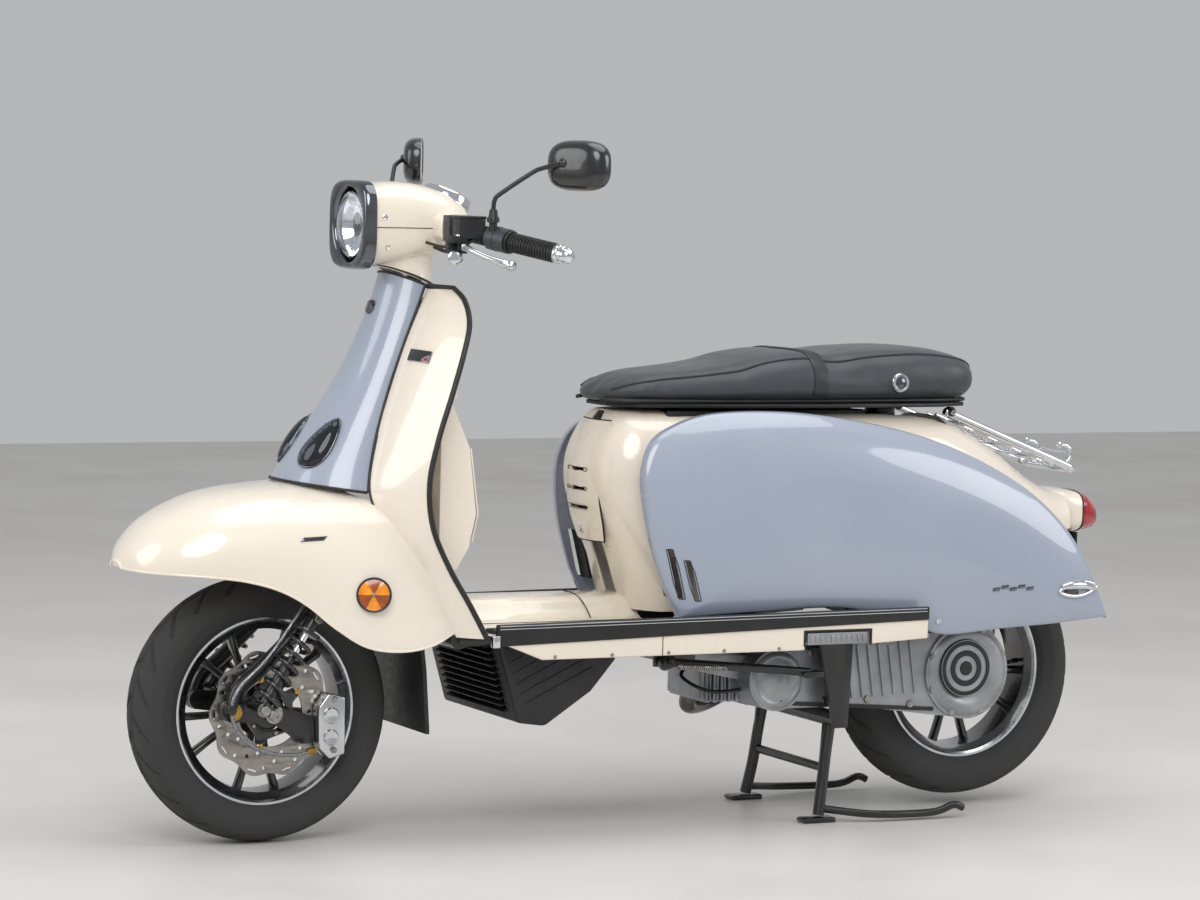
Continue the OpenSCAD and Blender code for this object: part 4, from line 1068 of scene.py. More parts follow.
class SCOOTER_OT_floor(bpy.types.Operator):
    """The floorboard with its tunnel, side sills, rubber runners and their bright lines"""

    bl_idname = "scooter.floor"
    bl_label = "Floor and runners"

    def execute(self, context):
        hump = smooth([(-232, 0), (-150, 0), (-86, 1), (-62, 14), (-44, 36), (-22, 42), (0, 43), (22, 42),
            (44, 36), (62, 14), (86, 1), (150, 0), (232, 0)], 5)
        grid = []
        for k in range(33):
            x = 16 + 384 * k / 32
            rise = 1 - 0.25 * max(0, (x - 300) / 100) ** 2
            grid.append([(x, y, 374 + z * rise) for y, z in hump])
        board = panel("floor_skin", grid, 3, (200, 0, 200), "cream_lacquer")
        seam = both(bead("floor_seam", [(x, 90, 374.6) for x in range(20, 400, 20)], 0.9, "trim_rubber", 6))
        collar = bead("floor_seam", [(126 - 0.0042 * y * y * 0.5, y,
            374.5 + 43 * max(0, 1 - (abs(y) / 78) ** 3.2)) for y in range(-120, 121,
            6)], 1.1, "trim_rubber", 6)
        carried(board, "chassis", "cream_paint", "floorboard")
        carried(joined("floor_seams", [seam, collar]), "chassis", "rubber")

        sill = [(-486, 341), (-486, 377), (300, 370), (372, 370), (346, 352), (284, 327), (-220, 327)]
        skirt = slab("sill", sill, 222, 238, "cream_lacquer", edge=3, segments=3)
        (x0, _, z0), (x1, _, z1) = [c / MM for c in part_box("footpeg_left")]
        gap = block("gap", (x0 - 3, 200, z0 - 12), (x1 + 3, 260, z1 + 4), "cream_lacquer", 0)
        skirt = cut(skirt, gap)
        step = [(x0 - 5, z0 - 2), (x0 - 1.5, z0 - 2), (x0 - 1.5, z1 + 2), (x1 + 1.5, z1 + 2),
            (x1 + 1.5, z0 - 2),
                (x1 + 5, z0 - 2), (x1 + 5, z1 + 5), (x0 - 5, z1 + 5)]
        surround = plate("surround", [step], 5, basis((0, 237.5, 0), (1, 0, 0), (0, 0, 1)),
            "grained_black_abs", 0.8)
        joint = bead("surround", [(52, 238.4, z) for z in (327, 340, 355, 373)], 0.7, "trim_rubber", 6)
        screws = in_row(lathe("screw", [(0, 2.2), (2.6, 2.0), (3.4, 0.6), (3.4, -2), (0, -2)],
            (-180, 237.8, 332), (0, 1, 0), "zinc_steel", 20), 5, (110, 0, 0), "zinc_steel")
        carried(both(skirt), "chassis", "cream_paint", "side_sills")
        carried(both(joined("sill_fittings", [surround, joint, screws])), "chassis", "black_plastic")

        def runner(low, high, start, end):
            """A ribbed rubber strip lying along the sill's edge."""
            return slab("runner", [(start, low(start)), (start, high(start)), (end, high(end)),
                (end, low(end))], 233.4, 242, "trim_rubber", edge=2.6, segments=4)

        def line(x):
            return 379 - 8 * (x + 486) / 858

        strip = runner(lambda x: line(x) - 4 - 14 * (x + 486) / 858, lambda x: line(x) + 20, -486, 372)
        top = slab("runner", [(18, 374.4), (18, 380), (376, 380), (376, 374.4)], 198, 233, "trim_rubber",
            edge=1.6)
        ledge = slab("runner", [(-482, 372), (-482, 394), (-8, 388), (-8, 372)], 190, 234, "trim_rubber",
            edge=1.6)
        rib = slat_bar("rib", (20, 204, 380.4), (374, 204, 380.4), (0, 0, 1), 1.6, 2.4)
        ribs = in_row(rib, 5, (0, 5.8, 0), "trim_rubber")
        lines = [tube("line", [(x, 242.4, line(x) + z) for x in (-480, -200, 100, 368)], 1.0,
            "chrome_plate", 8) for z in (12, 17)]
        lines += [tube("line", [(x, y, 380.6) for x in (20, 150, 280, 374)], 1.1, "chrome_plate",
            8) for y in (199.5, 231.5)]
        cap = block("runner_cap", (366, 231, 351), (380, 243, 372), "chrome_plate", 2.2, 3)
        rubber = both(joined("runner_rubber", [strip, top, ledge, ribs]))
        bright = both(joined("runner_lines", lines + [cap]))
        carried(rubber, "chassis", "rubber", "runner_strips")
        carried(bright, "chassis", "chrome")
        return {"FINISHED"}


class SCOOTER_OT_shroud(bpy.types.Operator):
    """The louvred radiator shroud under the floor and the radiator in it"""

    bl_idname = "scooter.shroud"
    bl_label = "Radiator shroud"

    def execute(self, context):
        outline = [(332, 352), (290, 207), (238, 200), (150, 258), (104, 312), (94, 352)]
        shell = slab("shroud_skin", outline, -160, 160, "grained_black_abs", edge=6, segments=3)
        cavity = block("cavity", (250, -122, 222), (400, 122, 342), "grained_black_abs", 0)
        shell = cut(shell, cavity)
        blade = slat_bar("blade", (295, -124, 226), (295, 124, 226), (1, 0, -0.5), 16, 2.6)
        blades = in_row(blade, 11, (3.4, 0, 11.6), "grained_black_abs")
        posts = in_row(slat_bar("post", (291, -84, 222), (331, -84, 346), (1, 0, 0), 3, 3), 5, (0, 42, 0),
            "grained_black_abs")
        flank = in_row(slat_bar("flank", (278, 160.5, 240), (150, 160.5, 300), (0, 1, 0), 2.2, 4), 5,
            (8, 0, 18), "grained_black_abs")
        carried(joined("radiator_shroud_skin", [shell, blades, posts, both(flank)]), "chassis",
            "black_plastic", "radiator_shroud")
        carried(refined("radiator", "radiator_core", 1.5, "radiator_matrix"), "chassis", "cast_alloy",
            "radiator")
        return {"FINISHED"}


class SCOOTER_OT_body(bpy.types.Operator):
    """The cream body, its access cover with three slots and a lock, and the tail with its ruby lamp"""

    bl_idname = "scooter.body"
    bl_label = "Body and tail"

    def execute(self, context):
        grid = hoops(BODY, 6, 112, 1)
        shell = panel("body_skin", grid, sizes().panel_wall / MM, (-400, 0, 500), "cream_lacquer",
                      drop=lambda c: -596 < c.x < -20 and abs(c.y) < 95 and c.z > 700)
        cover = [
            [(x - drop * t * t, -half * t, z) for t in [j / 16 - 1 for j in range(33)]] for x, half, z,
            drop in smooth(COVER, 12)
        ]
        lid = panel("access_lid", cover, 2.5, (-300, 0, 620), "cream_lacquer", edge=0.9)
        holes = []
        for k in range(3):
            slot = [(y, 638 - k * 34 + z) for y, z in ((-36, -2.3), (34, -2.3), (37, 0), (34, 2.3),
                (-36, 2.3), (-39, 0))]
            holes.append(slab("slot", slot, 70, 140, "cream_lacquer", "x", 0))
        lid = cut(lid, *holes)
        rim = [Vector(p) for p in cover[0]] + [Vector(r[-1]) for r in cover[1:]] + [Vector(p)
            for p in reversed(cover[-1])][1:] + [Vector(r[0]) for r in reversed(cover)][1:-1]
        shut = bead("shut_line", [p + Vector((-1.4, 0, 0)) for p in rim], 1.7, "trim_rubber", 8, True)
        # A black sheet behind the three slots is painted shade for the body's inside.
        shade_backing = slab("slot_shade_backing", [(-46, 556), (46, 556), (46, 652), (-46, 652)], 84, 92,
            "grained_black_abs", "x", 1)
        frames = []
        for k in range(3):
            z = 638 - k * 34
            line = [(113.8 - 13 * (y / 66) ** 2 - (1.6 if z < 600 else 0), y, z + h) for y,
                h in ((-38, -3), (0, -3), (36, -3), (38.5, 0), (36, 3), (0, 3), (-38, 3), (-40.5, 0))]
            frames.append(bead("slot_frame", line, 0.7, "trim_rubber", 6, True))
        place, out = touch(lid, (200, 0, 528), (-1, 0, 0))
        key = [
            lathe("cover_lock", [(0, 3), (5.4, 3), (7, 2), (7.4, 0), (7.4, -3), (0, -3)], place, out,
            "chrome_plate", 32),
            slat_bar("cover_lock", place + 3.2 * out + Vector((0, 0, -3)),
            place + 3.2 * out + Vector((0, 0, 3)), out, 1, 1.6),
        ]
        carried(shell, "chassis", "cream_paint", "body_shell")
        carried(joined("access_cover_skin", [lid, shut, shade_backing] + frames), "chassis", "cream_paint",
            "access_cover")
        carried(joined("access_cover_lock", key), "chassis", "chrome")

        tail = skin("tail_skin", loops([(-840, 44, 516, 586, 3.2)] + TAIL, 6, 64), "cream_lacquer")
        bracket = refined("tail_lamp_housing", "grained_black_abs", 0.6)
        keep_below(bracket, 509)
        plate_lamp = lathe("plate_lamp", [(0, 10), (9, 9), (12, 6), (13, 0), (13, -8), (0, -8)],
            (-918, 0, 505), (0, 0, -1), "grained_black_abs", 32)
        lens = skin("tail_lens_glass", loops(TAIL_LENS, 10, 72), "red_acrylic")
        ribs = [
            bead("tail_rib", [(x + 0.2, half * bend(math.cos(a), 2 / n),
            (lo + hi) / 2 + (hi - lo) / 2 * bend(math.sin(a),
            2 / n)) for a in [math.tau * k / 64 for k in range(64)]], 0.8, "red_acrylic", 6, True)
            for x, half, lo, hi, n in smooth(TAIL_LENS, 4)[2:11:2]
        ]
        gasket = bead("tail_gasket", loops(TAIL, 1, 64)[-1], 1.8, "trim_rubber", 8, True)
        carried(tail, "chassis", "cream_paint", "tail_lamp_housing")
        carried(joined("plate_bracket", [bracket, plate_lamp]), "chassis", "black_plastic")
        carried(joined("tail_lens_red", [lens] + ribs), "chassis", "red_lens", "tail_lens")
        carried(gasket, "chassis", "rubber")
        return {"FINISHED"}


def keep_below(obj, height):
    """Leaves only the faces under a height in millimetres."""
    bm = bmesh.new()
    bm.from_mesh(obj.data)
    bmesh.ops.bisect_plane(bm, geom=bm.verts[:] + bm.edges[:] + bm.faces[:], plane_co=(0, 0, height * MM),
        plane_no=(0, 0, 1), clear_outer=True)
    bmesh.ops.holes_fill(bm, edges=[e for e in bm.edges if e.is_boundary], sides=0)
    bm.to_mesh(obj.data)
    bm.free()
    return shade(obj)


class SCOOTER_OT_side_panels(bpy.types.Operator):
    """The blue side panels with their slots, finishers, plain badge bars and screws"""

    bl_idname = "scooter.side_panels"
    bl_label = "Side panels"

    def execute(self, context):
        outline = smooth_ring(SIDE_PANEL, 6)
        mx, mz = PANEL_MIDDLE
        shares = [1.0, 0.998, 0.994, 0.988, 0.98, 0.97, 0.955, 0.935, 0.91, 0.88, 0.84, 0.79, 0.73, 0.66,
            0.58, 0.49, 0.39, 0.28, 0.16, 0.05]
        rings = []
        for share in shares:
            ring = []
            for x, z in outline:
                edge = 157 + 42 * (1 - ((z - 340) / 410) ** 2)
                ring.append((mx + (x - mx) * share, edge + (222 - edge) * math.sqrt(1 - share**5),
                    mz + (z - mz) * share))
            rings.append(ring)
        rings.insert(0, [(x, y - 7, z) for x, y, z in rings[0]])
        bulge = skin("side_panel", rings, "blue_lacquer", (False, True), 180)
        inner = bulge.vertex_groups.new(name="inner")
        inner.add(list(range(4 * len(outline), len(bulge.data.vertices))), 1.0, "REPLACE")
        even = bulge.modifiers.new("even", "SMOOTH")
        even.factor, even.iterations, even.vertex_group = 0.5, 160, "inner"
        bulge = panel_wall(bulge, sizes().panel_wall / MM)
        slots = [
            slab("slot", [(18, 510), (29, 510), (7, 422), (-4, 422)], 150, 240, "blue_lacquer", edge=2.4),
            slab("slot", [(-14, 490), (-3, 490), (-23, 418), (-34, 418)], 150, 240, "blue_lacquer", edge=2.4),
        ]
        bulge = cut(bulge, *slots)
        trims = []
        for corners in (((18, 510), (29, 510), (7, 422), (-4, 422)),
            ((-14, 490), (-3, 490), (-23, 418), (-34, 418))):
            rim = []
            for i, (x, z) in enumerate(corners):
                nx, nz = corners[(i + 1) % 4]
                rim += [(x + (nx - x) * t / 6, z + (nz - z) * t / 6) for t in range(6)]
            line = []
            for x, z in rim:
                try:
                    place, _ = touch(bulge, (x + (1.6
                        if x > (corners[0][0] + corners[2][0]) / 2 else -1.6) * 1.4, 300, z), (0, -1, 0))
                except RuntimeError:
                    continue
                line.append(place + Vector((0, 0.2, 0)))
            trims.append(bead("slot_rim", line, 0.9, "trim_rubber", 8, True))
            # A dark rubber plug behind each slot is painted shade for the hollow behind the panel.
            trims.append(slab("slot_shade_plug", [(x, z) for x, z in corners], 150, 186, "trim_rubber", edge=0))
        place, out = touch(bulge, (-523, 300, 368), (0, -1, 0))
        screw = lathe("panel_screw", [(0, 1.6), (2.4, 1.6), (3.2, 3.0), (4.6, 2.6), (5.4, 0.6), (5.4, -3),
            (0, -3)], place, out, "chrome_plate", 28)
        # The finisher is a bright lozenge round a hollow at the tail; the hollow is a shallow black-glass
        # dish, painted shade for a deeper recess.
        outer, hollow = [], []
        for k in range(60):
            a = math.tau * k / 60
            x = -822 + 43 * math.cos(a)
            z = 419 - 4 * math.cos(a) + 12.5 * math.sin(a) * (1 - 0.35 * math.cos(a) ** 2)
            place, out = touch(bulge, (x, 320, z), (0, -1, 0))
            outer.append(place + 1.2 * out)
            hollow.append((x, z))
        finisher = bead("finisher", outer, 3.6, "chrome_plate", 12, True)
        wing = []
        for k in range(13):
            t = k / 12
            x = -782 - 82 * t
            place, out = touch(bulge, (x, 320, 424 - 7 * t + 6 * math.sin(math.pi * t)), (0, -1, 0))
            wing.append((Vector((x, place.y, place.z)) + 3.2 * out,
                2 + 6.5 * math.sin(math.pi * min(1, t * 0.95 + 0.05)) ** 0.7))
        blade = tube("finisher", [p for p, _ in wing], [r for _, r in wing], "chrome_plate", 16)
        shade_pocket = []
        for s, h in ((0.98, 0.8), (0.8, 0.2), (0.5, -0.6), (0.1, -1.0)):
            shade_pocket.append([Vector((-822 + (p.x + 822) * s, p.y + h - 1.0, 419 + (p.z - 419) * s))
                for p in outer])
        shade_pocket = skin("finisher", shade_pocket, "instrument_glass", (False, True))
        bars = []
        for k in range(5):
            x = -640 - 18 * k
            place, out = touch(bulge, (x, 320, 424 + (k % 2) * 4), (0, -1, 0))
            right = Vector((-1, 0, 0.06))
            right = (right - right.dot(out) * out).normalized()
            bars.append(plate("badge_bar", [[(-8, -3), (6.5, -3), (8, 3), (-6.5, 3)]], 2.4,
                basis(place + 0.9 * out, right, out.cross(right)), "smoked_chrome", 0.7))
        carried(both(bulge), "chassis", "blue_paint", "side_panels")
        carried(both(joined("side_panel_slots", trims)), "chassis", "rubber")
        carried(both(joined("side_panel_finishers", [finisher, blade, shade_pocket, screw] + bars)), "chassis",
            "chrome", "panel_handles")
        return {"FINISHED"}


class SCOOTER_OT_rack(bpy.types.Operator):
    """The chromed rear rack with its cross bars, long bars and folded hoop"""

    bl_idname = "scooter.rack"
    bl_label = "Rear rack"

    def execute(self, context):
        loop = RACK + [(x, -y, z) for x, y, z in reversed(RACK)]
        bars = [tube("rack", smooth(loop, 8), 7, "chrome_plate", 20)]
        cross = tube("rack", [(-664, y, 714.5) for y in (-92, -40, 40, 92)], 4.4, "chrome_plate", 14)
        bars.append(in_row(cross, 4, (-54, 0, -20.6), "chrome_plate"))
        for y in (24, 56, -24, -56):
            bars.append(tube("rack", [(-645, y, 727), (-760, y, 683), (-880, y, 637)], 3.8, "chrome_plate",
                12))
        hoop = [(-878, 56, 634), (-891, 58, 648), (-893, 58, 662), (-884, 58, 672), (-868, 58, 674)]
        bars.append(tube("rack", smooth(hoop, 6), 4, "chrome_plate", 12))
        bars.append(tube("rack", smooth([(x, -y, z) for x, y, z in hoop], 6), 4, "chrome_plate", 12))
        bars.append(tube("rack", [(-893, -58, 660), (-893, 0, 660), (-893, 58, 660)], 3.6, "chrome_plate",
            12))
        for y in (58, -58):
            bars.append(lathe("rack", [(0, 5), (5, 4), (6.5, 0), (5, -4), (0, -5)], (-868, y, 674),
                (1, 0, 0.1), "chrome_plate", 20))
        feet = [slab("rack_foot", circle(9, 24, (-604, 741)), 88, 104, "grained_black_abs", edge=2),
                lathe("rack_foot", [(0, 5), (4.5, 5), (6, 3), (6, -2), (0, -2)], (-604, 104, 741),
                (0, 1, 0), "zinc_steel", 24)]
        carried(joined("rack_bars", bars), "chassis", "chrome", "rear_rack")
        carried(both(joined("rack_feet", feet)), "chassis", "black_plastic")
        return {"FINISHED"}


class SCOOTER_OT_seat(bpy.types.Operator):
    """The stuffed seat with its welt, strap, side buttons and dark pan"""

    bl_idname = "scooter.seat"
    bl_label = "Seat"

    def execute(self, context):
        rings = []
        for ring in loops(SEAT, 5, 72):
            rings.append([(x, y * 0.975, 760.5 + (z - 760.5) * 0.965) for x, y, z in ring])
        cushion = skin("seat_cushion_cover", rings, "seat_vinyl")
        stuffed(cushion)
        welts = []
        for side in (1, -1):
            line = []
            for x, half, _, high, _ in smooth(SEAT, 6)[8:-4]:
                aim = Vector((x, side * half * 0.7, high - 20))
                place, out = touch(cushion, aim + Vector((0, side * 150, 138)), (0, -side * 150, -138))
                line.append(place + 0.6 * out)
            welts.append(line)
        back = []
        for k in range(1, 12):
            y = 100 - 200 * k / 12
            place, out = touch(cushion, (-800, y, 960), (1, 0, -0.82))
            back.append(place + 0.6 * out)
        ends = [p for p in back if abs(p.y) < min(abs(welts[0][-1].y), abs(welts[1][-1].y)) - 4]
        welt = bead("seat_welt", smooth([tuple(p) for p in welts[0] + ends + list(reversed(welts[1]))], 2),
            sizes().welt / MM, "welt_vinyl", 10)
        seams = [stitched("seat_seam", [tuple(p + Vector((0, -side * 4.5, 1.0))) for p in line]) for side,
            line in zip((1, -1), welts)]
        grid = []
        for k in range(57):
            a = math.radians(-13 + 206 * k / 56)
            row = []
            for j in range(7):
                across = -15 + 5 * j
                lean = 12 * max(0, abs(math.cos(a)) - 0.2)
                start = Vector((-298 + across - lean, 500 * math.cos(a), 800 + 400 * math.sin(a)))
                place, out = touch(cushion, start, (0, -500 * math.cos(a), -400 * math.sin(a)))
                row.append(place + (2.4 - 0.05 * (j - 3) ** 2) * out)
            grid.append(row)
        strap = panel("seat_strap", grid, 2.4, (-300, 0, 800), "welt_vinyl", edge=0.7)
        threads = [stitched("strap_seam", [tuple(row[j] + Vector((0, 0, 0.3))) for row in grid])
            for j in (1, 5)]
        pan = slab("seat_pan", [(76, -40), (30, -92), (-150, -128), (-300, -138), (-560, -132),
            (-630, -100), (-630, 100), (-560, 132), (-300, 138), (-150, 128), (30, 92), (76, 40)],
                   752, 759, "grained_black_abs", "z", 1.5)
        base = loops(SEAT, 3, 72)
        rim = []
        for ring in base[2:-2]:
            low = [p for p in ring if p[2] < 768 and p[1] > 0]
            rim.append(max(low, key=lambda p: p[1]))
        edge = both(bead("seat_edge", [(p[0], p[1] + 0.6, 763.5) for p in rim], 3.6, "grained_black_abs", 12))
        buttons = []
        for side in (1, -1):
            place, out = touch(cushion, (-470, side * 320, 797), (0, -side, 0))
            place = Vector((place.x, side * min(abs(place.y), 147.5), place.z))
            out = Vector((0, side, 0.04)).normalized()
            buttons += [
                lathe("seat_button", [(12, 5), (13, 6.4), (16, 6.6), (18, 4), (18.4, -2), (0, -2), (0, 4),
                (11, 4)], place, out, "chrome_plate", 56),
                lathe("seat_button", [(0, 6.6), (6, 6.2), (9, 5.0), (11.4, 5.2), (11.4, 2), (0, 2)], place,
                out, "smoked_chrome", 48),
            ]
        carried(cushion, "seat", "vinyl", "seat_cushion")
        carried(joined("seat_welt", [welt] + seams), "seat", "vinyl")
        carried(joined("seat_strap", [strap] + threads), "seat", "vinyl")
        carried(joined("seat_pan", [pan, edge]), "seat", "black_plastic", "seat_base")
        carried(joined("seat_chrome_buttons", buttons), "seat", "chrome", "seat_buttons")
        carried(refined("storage_bucket", "grained_black_abs", 1.5, "bucket_skin"), "chassis",
            "black_plastic", "storage_bucket")
        carried(refined("fuel_tank", "black_powder_coat", 2, "tank_skin"), "chassis", "frame_black",
            "fuel_tank")
        return {"FINISHED"}


def stuffed(obj):
    """Inflates a sewn cover as cloth under pressure and keeps the result."""
    shell = obj.modifiers.new("even", "REMESH")
    shell.mode, shell.voxel_size = "VOXEL", 0.006
    settle(obj)
    held = obj.vertex_groups.new(name="held")
    low = min(v.co.z for v in obj.data.vertices)
    held.add([v.index for v in obj.data.vertices if v.co.z < low + 0.007], 1.0, "REPLACE")
    before = [v.co.copy() for v in obj.data.vertices]
    cloth = obj.modifiers.new("cover", "CLOTH")
    cloth.settings.use_pressure = True
    cloth.settings.uniform_pressure_force = 3.2
    cloth.settings.bending_stiffness = 4
    cloth.settings.vertex_group_mass = "held"
    cloth.settings.effector_weights.gravity = 0
    scene = bpy.context.scene
    for step in range(1, 15):
        scene.frame_set(step)
    bpy.context.view_layer.update()
    swollen = obj.evaluated_get(bpy.context.evaluated_depsgraph_get()).data
    moved = [v.co.copy() for v in swollen.vertices]
    obj.modifiers.clear()
    scene.frame_set(1)
    for vertex, start, end in zip(obj.data.vertices, before, moved):
        shift = end - start
        vertex.co = start + shift * min(1.0, 0.008 / max(shift.length, 1e-9))
    soft = obj.modifiers.new("soft", "SMOOTH")
    soft.factor, soft.iterations = 0.5, 14
    fine = obj.modifiers.new("fine", "SUBSURF")
    fine.levels = fine.render_levels = 1
    return settle(obj, 180)


def at_bar(distance, side=1):
    point = BAR_ROOT + BAR_DIR.normalized() * distance
    return Vector((point.x, side * point.y, point.z))


class SCOOTER_OT_headset(bpy.types.Operator):
    """The cream headset with its seam, deep smoked bezel, round lamp and instrument"""

    bl_idname = "scooter.headset"
    bl_label = "Headset and lamp"

    def execute(self, context):
        shell = skin("headset_shell", loops(HEADSET, 8, 96), "cream_lacquer", (False, True))
        arm_rings = []
        for y, half, x in ((48, 35, 411), (74, 32, 412), (98, 29.5, 413.5), (114, 28, 414.6),
            (121, 27, 415), (124, 25, 415), (125, 18, 415)):
            arm_rings.append([(x + a, y, 1066 + b) for a, b in squircle(half, half * 0.96, 2.8, 40)])
        arms = both(skin("headset_arm", arm_rings, "cream_lacquer"))
        neck = []
        for z, x, long, wide, rise in smooth([(1044, 462, 63, 64, 0), (1034, 462, 60, 62, 0),
            (1006, 462, 54, 58, 0.2), (977, 456, 50, 57, 0.36)], 6):
            neck.append([(x + long * math.cos(math.tau * j / 64), wide * math.sin(math.tau * j / 64),
                z + rise * long * math.cos(math.tau * j / 64)) for j in range(64)])
        collar = skin("headset_neck", neck, "cream_lacquer")
        lip = bead("headset_neck", [(x, y, z + 3) for x, y, z in neck[-1]], 2.0, "trim_rubber", 10, True)
        seam = []
        for side in (1, -1):
            line = []
            for k in range(40):
                x = 540 - 176 * k / 39
                try:
                    place, out = touch(shell, (x, side * 400, 1064), (0, -side, 0))
                except RuntimeError:
                    continue
                line.append(place + 0.1 * out)
            seam.append(bead("headset_seam", line, 0.8, "trim_rubber", 6))
        cast = joined("headset_skin", [shell, arms, collar])
        screws = []
        for side in (1, -1):
            for x, z in ((527, 1082), (520, 1030)):
                place, out = touch(cast, (x, side * 400, z), (0, -side, 0))
                screws.append(lathe("headset_screw", [(0, 0.8), (2.2, 0.8), (3.2, 1.6), (4.4, 1.2), (5, 0),
                    (5, -3), (0, -3)], place, out, "chrome_plate", 28))
        # The bezel runs from a rounded square outside to a round wall inside.
        square, turn = squircle(85, 77, 4, 120), circle(1, 120)
        profile = [(0, 0, 543.5), (0, 0, 555), (0, 1.2, 560), (0, 3.6, 563.2), (0, 7, 564.6),
            (0.45, 0, 564.8), (0.9, 0, 563.4), (1, 66, 562),
                   (1, 63.6, 558), (1, 61.8, 550), (1, 60.6, 540), (1, 58.5, 540), (1, 60, 536),
                   (0.6, 0, 541)]
        rings = []
        for mix, size, x in profile:
            ring = []
            for (sy, sz), (cy, cz) in zip(square, turn):
                if mix == 1:
                    ring.append((x, cy * size, 1067 + cz * size))
                else:
                    shrink = 1 - size / 85
                    ring.append((x, (sy * shrink) * (1 - mix) + cy * 66 * mix,
                        1067 + (sz * shrink) * (1 - mix) + cz * 66 * mix))
            rings.append(ring)
        bezel = skin("bezel", rings + [rings[0]], "smoked_chrome", (False, False))
        centre = (0, 0, 1067)
        glass = lathe("lamp_glass", [(0, 573), (18, 572.2), (34, 569.8), (48, 565), (57, 559), (60, 553),
            (60, 550.4), (57, 551.2), (47, 562), (33, 566.8), (18, 569.2),
            (0, 570)], centre, FORWARD, "clear_lens", 96)
        bowl = lathe("lamp_bowl", [(60.4, 548), (52, 530), (40, 514), (24, 503), (12, 500), (0, 500),
            (0, 497), (26, 499), (44, 510), (56, 528), (62,
            546)], centre, FORWARD, "metallised_bowl", 96, True)
        bulb = lathe("lamp_bulb", [(0, 540), (5, 539), (9, 534), (9, 500), (0, 500)], centre, FORWARD,
            "smoked_chrome", 32)
        flutes = [
            tube("lamp_flute", [(546 - 0.004 * (y * y), y, 1067 - math.sqrt(max(0, 57**2 - y * y)) * 0.98),
            (530, y * 0.8, 1067 - 34), (519, y * 0.7, 1067)], 0.9, "metallised_bowl", 6)
            for y in range(-44, 45, 11)
        ]
        arc = [(549, 51 * math.sin(math.radians(a)),
            1067 - 51 * math.cos(math.radians(a))) for a in range(-38, 39, 4)]
        guide = tube("lamp_guide", arc, 3.2, "light_guide", 12)
        cap = lathe("lamp_core", [(0, 546), (14, 545), (22, 541), (24, 534), (0, 534)], centre, FORWARD,
            "smoked_chrome", 48)
        clock_at, clock_axis = Vector((379, 0, 1109)), Vector((-math.sin(math.radians(24)), 0,
            math.cos(math.radians(24))))
        clock = [
            lathe("clock", [(0, 13), (37, 13), (38, 16), (41, 16.8), (43, 14), (43, -4), (0, -4)],
            clock_at, clock_axis, "chrome_plate", 72),
            lathe("clock", [(0, 15.6), (30, 15.2), (37.4, 14.2), (37.4, 12), (0, 12)], clock_at,
            clock_axis, "instrument_glass", 72),
        ]
        across = clock_axis.cross(SIDE)
        for k in range(21):
            a = math.radians(-120 + 12 * k)
            way = math.cos(a) * across + math.sin(a) * SIDE
            clock.append(slat_bar("clock_tick", clock_at + 15.7 * clock_axis + 25 * way,
                clock_at + 15.3 * clock_axis + 31 * way, clock_axis, 0.3, 1.2))
        carried(cast, "steering", "cream_paint", "headset")
        carried(joined("headset_trim", seam + [lip]), "steering", "rubber")
        carried(joined("headset_screws", screws), "steering", "chrome")
        carried(bezel, "steering", "chrome", "headlamp_bezel")
        carried(glass, "steering", "lamp_glass", "headlamp_lens")
        carried(joined("headlamp_inside", [bowl, bulb, cap, guide] + flutes), "steering", "chrome")
        carried(joined("instrument_face", clock), "steering", "black_plastic", "instrument")
        return {"FINISHED"}


